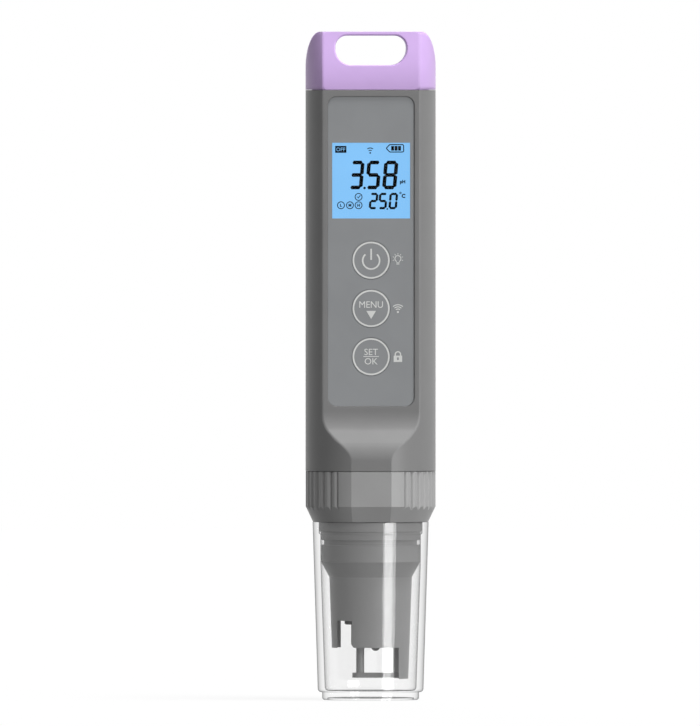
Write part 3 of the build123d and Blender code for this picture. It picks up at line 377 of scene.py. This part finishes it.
# %% Striped rubber
zebra_rubber, shader = start_material("layered_silicone_rubber", Roughness=0.6)
place = add_node(zebra_rubber, "ShaderNodeTexCoord").outputs["Object"]
layers = add_node(
    zebra_rubber, "ShaderNodeTexWave", {"bands_direction": "X", "Scale": 1 / (0.4 * MM) / 20 * math.tau},
    Vector=place,
)
stripes = add_node(zebra_rubber, "ShaderNodeValToRGB", Fac=layers.outputs["Fac"])
for stop, colour, at in zip(stripes.color_ramp.elements, ("#2a2a2a", "#d8d6ce"), (0.45, 0.55)):
    stop.position = at
    stop.color = linear(colour)
zebra_rubber.node_tree.links.new(stripes.outputs["Color"], shader.inputs["Base Color"])
dress(zebra_rubber, "lcd_strips")
print("strips", zebra_rubber.name)

# %% [markdown]
# A cell's jacket is a printed foil sleeve. These have a plain dark green sleeve with a copper-coloured band
# over the positive end, and nothing else is printed on them. The band follows the height, so the material
# reads the Object coordinate z and changes colour in one step.

# %% Battery cells
cell_low, cell_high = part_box("battery_cell_1")
band_height = 11 * MM
cell_jacket, shader = start_material("printed_foil_sleeve", Roughness=0.3, Metallic=0.35, Coat_Weight=0.5)
links = cell_jacket.node_tree.links
place = add_node(cell_jacket, "ShaderNodeTexCoord").outputs["Object"]
height = add_node(cell_jacket, "ShaderNodeSeparateXYZ", Vector=place).outputs["Z"]
banded = add_node(
    cell_jacket, "ShaderNodeMapRange",
    {"From Min": cell_high[2] - band_height, "From Max": cell_high[2] - band_height + 0.3 * MM}, Value=height,
)
sleeve = add_node(cell_jacket, "ShaderNodeValToRGB", Fac=banded.outputs["Result"])
for stop, colour in zip(sleeve.color_ramp.elements, ("#1f4a38", "#b87a48")):
    stop.color = linear(colour)
links.new(sleeve.outputs["Color"], shader.inputs["Base Color"])
creases = add_node(cell_jacket, "ShaderNodeTexNoise", {"Scale": 1 / (6 * MM)}, Vector=place)
bump = add_node(
    cell_jacket, "ShaderNodeBump", {"Strength": 0.15, "Distance": 0.1 * MM}, Height=creases.outputs["Fac"]
)
links.new(bump.outputs["Normal"], shader.inputs["Normal"])
dress(cell_jacket, *[f"battery_cell_{number}" for number in (1, 2, 3, 4)])
print("cells from z", round(cell_low[2] / MM, 1), "to", round(cell_high[2] / MM, 1))

# %% [markdown]
# The electrode's bulb is thin glass over a dark filling, so it looks like a drop of black glass. The
# junction beside it is a plug of sintered ceramic, white, matt and full of pores of about 0.1 mm.

# %% Electrode glass and ceramic
bulb_glass, shader = start_material(
    "blown_glass_over_dark_gel", Roughness=0.06, IOR=1.5, Coat_Weight=1.0, Coat_Roughness=0.03
)
place = add_node(bulb_glass, "ShaderNodeTexCoord").outputs["Object"]
gel = add_node(bulb_glass, "ShaderNodeTexNoise", {"Scale": 1 / (2 * MM)}, Vector=place)
depth = add_node(bulb_glass, "ShaderNodeValToRGB", Fac=gel.outputs["Fac"])
for stop, colour in zip(depth.color_ramp.elements, ("#0b0c0e", "#1c1e22")):
    stop.color = linear(colour)
bulb_glass.node_tree.links.new(depth.outputs["Color"], shader.inputs["Base Color"])
dress(bulb_glass, "glass_bulb")
pore_ceramic = moulded_plastic("sintered_porous_ceramic", "#e8e4da", 0.85, grain_mm=0.1, grain_depth=0.05)
dress(pore_ceramic, "reference_junction")
print("electrodes", bulb_glass.name, pore_ceramic.name)

# %% [markdown]
# The new pieces are made of two kinds of closed shape. A plate is a flat outline with a thickness, for
# filled marks. A carried shape is a small profile that moves along a path: a flat band for rings and drawn
# lines, a low ridge for a screw thread. Both are worked out as whole arrays of points. One more helper
# turns lettering in Blender's own font into the same kind of shape, and the last one joins the shapes of a
# piece, turns their faces outwards, names the body that carries it and the finish that it takes.

# %% Shape helpers
def plate(outline, front, back):
    """A flat plate: each point of an outline in x and z stands once in the plane y = front and once in the
    plane y = back, and walls join the two outlines."""
    ring = np.asarray(outline, dtype=float)
    count = len(ring)
    points = np.column_stack([
        np.tile(ring[:, 0], 2), np.repeat([front, back], count), np.tile(ring[:, 1], 2)
    ])
    here = np.arange(count)
    after = (here + 1) % count
    walls = np.column_stack([here, after, after + count, here + count])
    return points, [here.tolist(), (here[::-1] + count).tolist(), *walls.tolist()]


def carried(profile, centres, outwards, sideways, closed=False):
    """A profile carried along a path. A point is a point of the path, plus the profile's first number along
    outwards, plus its second along sideways. The profile may change on the way. An open path gets ends."""
    rows = len(centres)
    profile = np.broadcast_to(profile, (rows, *np.shape(profile)[-2:]))
    points = (
        centres[:, None, :]
        + profile[:, :, :1] * outwards[:, None, :]
        + profile[:, :, 1:] * sideways[:, None, :]
    )
    index = np.arange(rows * profile.shape[1]).reshape(rows, -1)
    lines = np.vstack([index, index[:1]]) if closed else index
    here, after = lines[:-1], lines[1:]
    quads = np.stack([here, np.roll(here, -1, axis=1), np.roll(after, -1, axis=1), after], axis=-1)
    faces = quads.reshape(-1, 4).tolist()
    ends = [] if closed else [index[0].tolist(), index[-1][::-1].tolist()]
    return points.reshape(-1, 3), faces + ends


def band(path, width, front, back, closed=False):
    """A flat band of even width: a rectangle carried along a path of x and z points. It stands square to the
    path, whose direction at a point is the line from the point before to the point after."""
    path = np.asarray(path, dtype=float)
    if closed:
        along = np.roll(path, -1, axis=0) - np.roll(path, 1, axis=0)
    else:
        along = np.gradient(path, axis=0)
    along /= np.linalg.norm(along, axis=1, keepdims=True)
    level = np.zeros(len(path))
    centres = np.column_stack([path[:, 0], level + (front + back) / 2, path[:, 1]])
    outwards = np.column_stack([-along[:, 1], level, along[:, 0]])
    sideways = np.tile([0.0, 1.0, 0.0], (len(path), 1))
    half, deep = width / 2, (back - front) / 2
    profile = np.array([(-half, -deep), (half, -deep), (half, deep), (-half, deep)])
    return carried(profile, centres, outwards, sideways, closed)


def arc(middle_x, middle_z, radius, start, end, steps=48):
    """Points on a circle from one angle to another, in degrees, where 0 is to the right and 90 is up."""
    angle = np.radians(np.linspace(start, end, steps))
    return np.column_stack([middle_x + radius * np.cos(angle), middle_z + radius * np.sin(angle)])


def ring(middle_x, middle_z, radius, width, front, back, steps=72):
    """A closed band round a whole circle."""
    return band(arc(middle_x, middle_z, radius, 0, 360, steps + 1)[:-1], width, front, back, closed=True)


def box_plate(left, right, low, high, front, back):
    """A rectangular plate."""
    return plate([(left, low), (right, low), (right, high), (left, high)], front, back)


def words(text, height, middle_x, middle_z, front, back, narrow=1.0, weight=0.0):
    """Lettering as closed shapes. The flat letters are given their thickness, scaled to their height, made
    narrower by a share, centred, and stood up: their x stays, their y becomes z and their z becomes -y."""
    curve = bpy.data.curves.new(text, "FONT")
    curve.body = text
    curve.resolution_u = 3
    curve.extrude = 0.02
    curve.offset = weight
    holder = bpy.data.objects.new(text, curve)
    bpy.context.scene.collection.objects.link(holder)
    flat = bpy.data.meshes.new_from_object(holder.evaluated_get(bpy.context.evaluated_depsgraph_get()))
    bpy.data.objects.remove(holder)
    shell = bmesh.new()
    shell.from_mesh(flat)
    bmesh.ops.remove_doubles(shell, verts=shell.verts, dist=1e-5)
    shell.to_mesh(flat)
    shell.free()
    letters = np.zeros(3 * len(flat.vertices))
    flat.vertices.foreach_get("co", letters)
    letters = letters.reshape(-1, 3)
    faces = [list(face.vertices) for face in flat.polygons]
    bpy.data.meshes.remove(flat)
    low, high = letters.min(axis=0), letters.max(axis=0)
    size = height / (high[1] - low[1])
    centred = (letters - (low + high) / 2) * (size * narrow, size, (back - front) / (high[2] - low[2]))
    points = np.column_stack([
        centred[:, 0] + middle_x, (front + back) / 2 - centred[:, 2], centred[:, 1] + middle_z
    ])
    return points, faces


def make_piece(name, shapes, body, material):
    """Joins closed shapes into one piece at the origin that rides on a body."""
    starts = np.cumsum([0] + [len(points) for points, _ in shapes])
    faces = [[corner + start for corner in face] for (_, own), start in zip(shapes, starts) for face in own]
    mesh = bpy.data.meshes.new(name)
    mesh.from_pydata(np.vstack([points for points, _ in shapes]).tolist(), [], faces)
    shell = bmesh.new()
    shell.from_mesh(mesh)
    bmesh.ops.recalc_face_normals(shell, faces=shell.faces)
    shell.to_mesh(mesh)
    shell.free()
    mesh.materials.append(material)
    piece = bpy.data.objects.new(name, mesh)
    bpy.context.scene.collection.objects.link(piece)
    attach(piece, body)
    print(name, "shapes", len(shapes), "faces", len(mesh.polygons))
    return piece


def middle(node_name):
    """The middle of a node's box."""
    low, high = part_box(node_name)
    return [(a + b) / 2 for a, b in zip(low, high)]

# %% [markdown]
# The figures of the display are thin layers on the glass. Each digit has seven bars with pointed ends, and
# the digits lean to the right by about five degrees, as on most such displays. A bar is a six-cornered
# plate. The lean moves each point to the right by a share of its height, after the digit is laid out.

# %% Digits
glass_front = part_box("lcd_panel")[0][1]
window_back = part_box("display_window")[1][1]
ink_front = (glass_front + window_back) / 2
ink_back = glass_front + 0.01 * MM
lean = math.tan(math.radians(4.8))
bars_of = {"0": "abcdef", "2": "abged", "3": "abgcd", "5": "afgcd", "8": "abcdefg"}


def bar(x1, z1, x2, z2, thick, gap):
    """A bar from one point to another: its ends are points, and a gap is left before each end."""
    start, end = np.array([x1, z1]), np.array([x2, z2])
    along = (end - start) / np.linalg.norm(end - start)
    across = np.array([-along[1], along[0]]) * thick / 2
    start, end = start + along * gap, end - along * gap
    shoulder = along * thick * 0.3
    return [start, start + shoulder + across, end - shoulder + across, end, end - shoulder - across,
            start + shoulder - across]


def digit(figure, middle_x, middle_z, width, height, thick, gap):
    """The plates of one digit, leaning to the right."""
    x, z = (width - thick) / 2, (height - thick) / 2
    ends = {
        "a": (-x, z, x, z), "b": (x, z, x, 0), "c": (x, 0, x, -z), "d": (-x, -z, x, -z),
        "e": (-x, 0, -x, -z), "f": (-x, z, -x, 0), "g": (-x, 0, x, 0),
    }
    shapes = []
    for letter in bars_of[figure]:
        outline = np.array(bar(*ends[letter], thick, gap))
        outline[:, 0] += outline[:, 1] * lean
        shapes.append(plate(outline + (middle_x, middle_z), ink_front, ink_back))
    return shapes


def dot(middle_x, middle_z, radius, front, back):
    """A round plate."""
    return plate(arc(middle_x, middle_z, radius, 0, 360, 25)[:-1], front, back)


window_z = middle("display_window")[2]
reading_z = window_z + 1.6 * MM
reading_pitch = 4.8 * MM
figures = []
for place_number, figure in enumerate("358"):
    figure_x = -4.15 * MM + place_number * reading_pitch
    figures += digit(figure, figure_x, reading_z, 4.05 * MM, 8.15 * MM, 1.06 * MM, 0.06 * MM)
figures.append(dot(-1.85 * MM, reading_z - 3.7 * MM, 0.36 * MM, ink_front, ink_back))
warmth_z = window_z - 5.8 * MM
for figure, figure_x in zip("250", (0.7 * MM, 3.35 * MM, 6.3 * MM)):
    figures += digit(figure, figure_x, warmth_z, 2.45 * MM, 4.7 * MM, 0.68 * MM, 0.04 * MM)
figures.append(dot(4.6 * MM, warmth_z - 2.25 * MM, 0.24 * MM, ink_front, ink_back))
figure_black, shader = start_material("liquid_crystal_black", Roughness=0.5, Specular_IOR_Level=0.0)
place = add_node(figure_black, "ShaderNodeTexCoord").outputs["Object"]
crystal = add_node(figure_black, "ShaderNodeTexNoise", {"Scale": 1 / (0.5 * MM)}, Vector=place)
ink = add_node(figure_black, "ShaderNodeValToRGB", Fac=crystal.outputs["Fac"])
for stop, colour in zip(ink.color_ramp.elements, ("#020304", "#0a0d10")):
    stop.color = linear(colour)
figure_black.node_tree.links.new(ink.outputs["Color"], shader.inputs["Base Color"])
make_piece("display_digits", figures, "housing", figure_black)

# %% [markdown]
# Round the digits stand small signs: an OFF box for the timer that switches the tester off, a battery with
# three bars, arcs for the radio link, the units, and four round lamps that say how a calibration went. They
# are as thin as the digits. The letters in the OFF box are left blue by laying blue letters over the box.

# %% Display signs
sign_z = window_z + 8.87 * MM
box_x, box_width, box_height = -8.6 * MM, 3.2 * MM, 1.95 * MM
signs = [box_plate(
    box_x - box_width / 2, box_x + box_width / 2, sign_z - box_height / 2, sign_z + box_height / 2,
    ink_front, ink_back,
)]
battery_x, battery_half, battery_rise = 7.15 * MM, 2.1 * MM, 1.05 * MM
battery_z = sign_z + 0.3 * MM
battery_outline = np.vstack([
    arc(battery_x + battery_half - 0.4 * MM, battery_z + battery_rise - 0.4 * MM, 0.4 * MM, 0, 90, 6),
    arc(battery_x - battery_half + 0.4 * MM, battery_z + battery_rise - 0.4 * MM, 0.4 * MM, 90, 150, 5),
    arc(battery_x - battery_half - 0.35 * MM, battery_z, 0.3 * MM, 130, 230, 7),
    arc(battery_x - battery_half + 0.4 * MM, battery_z - battery_rise + 0.4 * MM, 0.4 * MM, 210, 270, 5),
    arc(battery_x + battery_half - 0.4 * MM, battery_z - battery_rise + 0.4 * MM, 0.4 * MM, 270, 360, 6),
])
signs.append(band(battery_outline, 0.28 * MM, ink_front, ink_back, closed=True))
for step in (-1, 0, 1):
    bar_x = battery_x - 0.05 * MM + step * 0.98 * MM
    signs.append(box_plate(
        bar_x - 0.41 * MM, bar_x + 0.41 * MM, battery_z - 0.66 * MM, battery_z + 0.66 * MM,
        ink_front, ink_back,
    ))
for radius in (0.75 * MM, 1.4 * MM):
    signs.append(band(arc(-0.25 * MM, sign_z - 1.0 * MM, radius, 55, 125, 9), 0.26 * MM, ink_front, ink_back))
signs.append(dot(-0.25 * MM, sign_z - 1.0 * MM, 0.24 * MM, ink_front, ink_back))
signs.append(words("pH", 1.3 * MM, 8.95 * MM, reading_z - 2.05 * MM, ink_front, ink_back, weight=0.05))
signs.append(ring(8.35 * MM, warmth_z + 2.3 * MM, 0.22 * MM, 0.18 * MM, ink_front, ink_back, 20))
signs.append(words("C", 1.2 * MM, 9.2 * MM, warmth_z + 1.45 * MM, ink_front, ink_back, weight=0.05))
lamp_z = warmth_z - 1.2 * MM
lamp_xs = {"L": -8.55 * MM, "M": -6.0 * MM, "H": -3.55 * MM}
for letter, lamp_x in lamp_xs.items():
    signs.append(ring(lamp_x, lamp_z, 0.98 * MM, 0.24 * MM, ink_front, ink_back, 36))
    signs.append(words(letter, 0.85 * MM, lamp_x, lamp_z, ink_front, ink_back, weight=0.05))
tick_z = lamp_z + 2.37 * MM
tick_x = lamp_xs["H"]
signs.append(ring(tick_x, tick_z, 0.98 * MM, 0.24 * MM, ink_front, ink_back, 36))
tick = [(-0.45, 0.1), (-0.1, -0.35), (0.5, 0.45)]
signs.append(band([(tick_x + x * MM, tick_z + z * MM) for x, z in tick], 0.24 * MM, ink_front, ink_back))
make_piece("display_signs", signs, "housing", figure_black)
letter_gap = 0.02 * MM
off_letters = [words("OFF", 1.05 * MM, box_x, sign_z, ink_front - letter_gap, ink_front)]
make_piece("display_off_letters", off_letters, "housing", lcd_blue)

# %% [markdown]
# The marks on the label are screen-printed in one pass of pale grey ink. On the keys they are a ring, the
# power sign, and the words MENU and SET with OK. Ink stands on the film by a hundredth of a millimetre.
# Marks on a key move with the key, so they are pieces of their own. The place above the display is bare.

# %% Printed marks
print_ink = moulded_plastic("screen_printed_pale_ink", "#d6d7d5", 0.55, grain_mm=0.1, tone_shift=0.03)
key_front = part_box("power_key")[0][1]
print_front = key_front - 0.02 * MM
print_back = key_front + 0.01 * MM
line = 0.45 * MM


def key_ring(key_x, key_z):
    """The ring printed just inside a key's edge."""
    return ring(key_x, key_z, 5.03 * MM, line, print_front, print_back, 96)


power_x, _, power_z = middle("power_key")
power_marks = [
    key_ring(power_x, power_z),
    band(arc(power_x, power_z - 0.1 * MM, 2.4 * MM, 133, 407, 60), line, print_front, print_back),
    box_plate(
        power_x - line / 2, power_x + line / 2, power_z + 0.1 * MM, power_z + 3.25 * MM,
        print_front, print_back,
    ),
]
make_piece("power_key_print", power_marks, "power_button", print_ink)

menu_x, _, menu_z = middle("menu_key")
arrow = [(-1.35, -0.7), (1.35, -0.7), (0, -3.0)]
menu_marks = [
    key_ring(menu_x, menu_z),
    words("MENU", 1.85 * MM, menu_x, menu_z + 1.1 * MM, print_front, print_back, narrow=0.95),
    plate([(menu_x + x * MM, menu_z + z * MM) for x, z in arrow], print_front, print_back),
]
make_piece("menu_key_print", menu_marks, "menu_button", print_ink)

enter_x, _, enter_z = middle("enter_key")
enter_marks = [
    key_ring(enter_x, enter_z),
    words("SET", 1.8 * MM, enter_x, enter_z + 1.35 * MM, print_front, print_back),
    box_plate(
        enter_x - 2.2 * MM, enter_x + 2.2 * MM, enter_z - 0.05 * MM, enter_z + 0.15 * MM,
        print_front, print_back,
    ),
    words("OK", 1.8 * MM, enter_x, enter_z - 1.3 * MM, print_front, print_back),
]
make_piece("enter_key_print", enter_marks, "enter_button", print_ink)

# %% [markdown]
# Beside the keys stand three small signs for what a long press does: a lamp for the backlight, radio waves
# for the link, and a padlock for holding a reading. They stay when a key is pressed, so they belong to the
# housing. The lamp is an arc over two short bars with rays round it, and the padlock is four plates round
# its keyhole under a bent band.

# %% Signs beside the keys
film_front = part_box("overlay_panel")[0][1]
sign_front = film_front - 0.02 * MM
sign_back = film_front + 0.01 * MM
sign_x = 7.6 * MM
thin = 0.22 * MM

bulb_z = power_z + 0.45 * MM
bulb_signs = [
    band(
        np.vstack([
            [(sign_x - 0.45 * MM, bulb_z - 0.95 * MM)],
            arc(sign_x, bulb_z, 0.85 * MM, 240, -60, 24),
            [(sign_x + 0.45 * MM, bulb_z - 0.95 * MM)],
        ]),
        thin, sign_front, sign_back,
    ),
]
for low in (-1.3 * MM, -1.65 * MM):
    bulb_signs.append(box_plate(
        sign_x - 0.42 * MM, sign_x + 0.42 * MM, bulb_z + low, bulb_z + low + thin, sign_front, sign_back
    ))
for angle in np.radians([-20, 20, 55, 90, 125, 160, 200]):
    ray = np.array([math.cos(angle), math.sin(angle)])
    ends = [(sign_x, bulb_z) + ray * 1.15 * MM, (sign_x, bulb_z) + ray * 1.55 * MM]
    bulb_signs.append(band(ends, thin * 0.8, sign_front, sign_back))
make_piece("lamp_sign_print", bulb_signs, "housing", print_ink)

wave_z = menu_z - 0.55 * MM
wave_signs = [dot(sign_x, wave_z - 0.45 * MM, 0.28 * MM, sign_front, sign_back)]
for radius in (0.85 * MM, 1.45 * MM, 2.05 * MM):
    wave_signs.append(
        band(arc(sign_x, wave_z - 0.45 * MM, radius, 48, 132, 18), thin * 1.2, sign_front, sign_back)
    )
make_piece("radio_sign_print", wave_signs, "housing", print_ink)

lock_z = enter_z - 0.55 * MM
lock_half, lock_low, lock_high, key_hole = 1.2 * MM, -0.95 * MM, 0.85 * MM, 0.26 * MM
lock_parts = [
    (-lock_half, -key_hole, lock_low, lock_high),
    (key_hole, lock_half, lock_low, lock_high),
    (-key_hole, key_hole, 0.35 * MM, lock_high),
    (-key_hole, key_hole, lock_low, -0.4 * MM),
]
lock_signs = [
    box_plate(sign_x + left, sign_x + right, lock_z + low, lock_z + high, sign_front, sign_back)
    for left, right, low, high in lock_parts
]
bow = np.vstack([
    [(sign_x + 0.75 * MM, lock_z + lock_high)],
    arc(sign_x, lock_z + 1.2 * MM, 0.75 * MM, 0, 180, 20),
    [(sign_x - 0.75 * MM, lock_z + lock_high)],
])
lock_signs.append(band(bow, thin * 1.5, sign_front, sign_back))
make_piece("lock_sign_print", lock_signs, "housing", print_ink)

# %% [markdown]
# The collar screws onto the neck of the housing with a coarse rounded thread of 2.5 mm pitch, which shows
# when the collar is off. A thread is a low ridge carried round a helix: the angle grows evenly, and the
# height grows by one pitch for every full turn. At both ends the ridge sinks into the wall. The ridge
# inside the collar lies half a pitch above the one on the neck, so the two run past each other.

# %% Screw threads
pitch = 2.5 * MM
neck_wall_radius = 15.8 * MM
collar_bore_radius = 16.4 * MM
ridge_height = 0.38 * MM
ridge_root, ridge_crest = 1.15 * MM, 0.5 * MM
run_out = math.radians(50)
thread_sink = 0.15 * MM


def thread(wall_radius, reach, start_height, turns):
    """A helical ridge. Its profile is a trapezoid from inside the wall to reach beyond it, and reach shrinks
    evenly to nothing over the run-out at each end."""
    angle = np.linspace(0, math.tau * turns, int(64 * turns) + 1)
    swell = np.clip(np.minimum(angle, angle[-1] - angle) / run_out, 0.02, 1)
    side = math.copysign(1, reach)
    root = np.full_like(angle, -side * thread_sink)
    crest = reach * swell
    profile = np.stack([
        np.column_stack([root, np.full_like(angle, -ridge_root / 2)]),
        np.column_stack([crest, np.full_like(angle, -ridge_crest / 2)]),
        np.column_stack([crest, np.full_like(angle, ridge_crest / 2)]),
        np.column_stack([root, np.full_like(angle, ridge_root / 2)]),
    ], axis=1)
    outwards = np.column_stack([np.cos(angle), np.sin(angle), np.zeros_like(angle)])
    centres = outwards * wall_radius
    centres[:, 2] = start_height + pitch * angle / math.tau
    upwards = np.tile([0.0, 0.0, 1.0], (len(angle), 1))
    return carried(profile, centres, outwards, upwards)


collar_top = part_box("screw_collar")[1][2]
neck_start = collar_top - 7.3 * MM
neck_ridge = thread(neck_wall_radius, ridge_height, neck_start, 2.5)
collar_ridge = thread(collar_bore_radius, -ridge_height, neck_start + pitch / 2, 2.0)
make_piece("neck_thread", [neck_ridge], "housing", body_plastic)
make_piece("collar_thread", [collar_ridge], "collar", collar_plastic)

# %% [markdown]
# The studio is a pale floor, a white surround and four lamps. A large soft lamp high on the right gives
# the light on everything that faces up, a weaker one from the right front fills the sides, and one behind
# keeps the back from going dark. A tall strip lamp on the right shows only as a reflection: it draws the
# bright upright bar on the clear cup and the lines along the moulded edges.

# %% Lamps
def lamp(name, kind, strength, direction, distance=1.5, **settings):
    """A lamp that shines from a direction towards the tester."""
    data = bpy.data.lights.new(name, kind)
    data.energy = strength
    for label, value in settings.items():
        setattr(data, label, value)
    light = bpy.data.objects.new(name, data)
    bpy.context.scene.collection.objects.link(light)
    towards = Vector(direction).normalized()
    light.location = aim + towards * distance
    light.rotation_euler = towards.to_track_quat("Z", "Y").to_euler()
    return light


lamp("top_lamp", "SUN", math.pi * 1.15, (0.42, -0.25, 1.65), angle=math.radians(22))
side_lamp = lamp("side_lamp", "SUN", math.pi * 0.57, (0.3, -0.32, 0.05), angle=math.radians(30))
side_lamp.visible_glossy = False
back_lamp = lamp("back_lamp", "SUN", math.pi * 0.4, (0, 1, 0.35), angle=math.radians(30))
back_lamp.visible_glossy = False
strip_distance, strip_height = 0.8, 1.4
strip_from, strip_to = math.radians(27.8), math.radians(51.5)
strip_middle = (strip_from + strip_to) / 2
strip_width = 2 * strip_distance * math.tan((strip_to - strip_from) / 2)
strip_glow = 7.5
strip_lamp = lamp(
    "strip_lamp", "AREA", strip_glow * math.pi * strip_width * strip_height,
    (math.sin(strip_middle), -math.cos(strip_middle), 0), strip_distance,
    shape="RECTANGLE", size=strip_width, size_y=strip_height,
)
strip_lamp.visible_diffuse = False
strip_lamp.visible_transmission = False
print("strip lamp", round(strip_width, 2), "m wide, at", round(math.degrees(strip_middle), 1), "degrees")

# %% [markdown]
# The surround lights the tester evenly at less than half of white. The camera, and rays that were mirrored
# or came through the clear cup, see it as full white, as the paper round a catalogue picture is.

# %% Surround
world = bpy.data.worlds.new("studio_surround")
bpy.context.scene.world = world
world.use_nodes = True
world.node_tree.nodes.clear()
ray = add_node(world, "ShaderNodeLightPath")
mirrored = add_node(world, "ShaderNodeMath", {"operation": "MAXIMUM"})
world.node_tree.links.new(ray.outputs["Is Glossy Ray"], mirrored.inputs[0])
world.node_tree.links.new(ray.outputs["Is Transmission Ray"], mirrored.inputs[1])
seen = add_node(world, "ShaderNodeMath", {"operation": "MAXIMUM"})
world.node_tree.links.new(ray.outputs["Is Camera Ray"], seen.inputs[0])
world.node_tree.links.new(mirrored.outputs["Value"], seen.inputs[1])
level = add_node(world, "ShaderNodeMapRange", {"To Min": 0.42, "To Max": 1.0}, Value=seen.outputs["Value"])
paper = add_node(
    world, "ShaderNodeBackground", {"Color": linear("#ffffff")}, Strength=level.outputs["Result"]
)
add_node(world, "ShaderNodeOutputWorld", Surface=paper.outputs["Background"])

# %% [markdown]
# The floor is a wide disc of pale board. The camera sees it nearly white, with the tester's soft shadow on
# it. To the tester it is a dark grey, so that it doesn't throw more light up than the surround would, and the
# foot of the strip lamp shines through it, so that the bar of light runs down the whole cup.

# %% Floor
floor_radius = 3.0
floor_thickness = 0.01
rim = arc(0, 0, floor_radius, 0, 360, 65)[:-1]
disc = np.column_stack([np.tile(rim, (2, 1)), np.repeat([0.0, -floor_thickness], len(rim))])
here = np.arange(len(rim))
after = (here + 1) % len(rim)
walls = np.column_stack([here, here + len(rim), after + len(rim), after])
floor_mesh = bpy.data.meshes.new("studio_floor")
floor_mesh.from_pydata(disc.tolist(), [], [here.tolist(), (here[::-1] + len(rim)).tolist(), *walls.tolist()])
floor = bpy.data.objects.new("studio_floor", floor_mesh)
bpy.context.scene.collection.objects.link(floor)
floor_board, shader = start_material("pale_floor_board", Base_Color=linear("#4a4a4a"), Roughness=1.0)
shader.inputs["Specular IOR Level"].default_value = 0.0
tree = floor_board.node_tree
ray = add_node(floor_board, "ShaderNodeLightPath")
seen = add_node(floor_board, "ShaderNodeMath", {"operation": "MAXIMUM"})
tree.links.new(ray.outputs["Is Camera Ray"], seen.inputs[0])
tree.links.new(ray.outputs["Is Glossy Ray"], seen.inputs[1])
lift = add_node(floor_board, "ShaderNodeMath", {"operation": "MULTIPLY"})
tree.links.new(seen.outputs["Value"], lift.inputs[0])
lift.inputs[1].default_value = 0.885
tree.links.new(lift.outputs["Value"], shader.inputs["Emission Strength"])
shader.inputs["Emission Color"].default_value = linear("#ffffff")
floor_mesh.materials.append(floor_board)
floor.visible_glossy = False
floor.visible_shadow = False
print("floor", floor_radius, "m")

# %% Finish
bpy.context.view_layer.update()
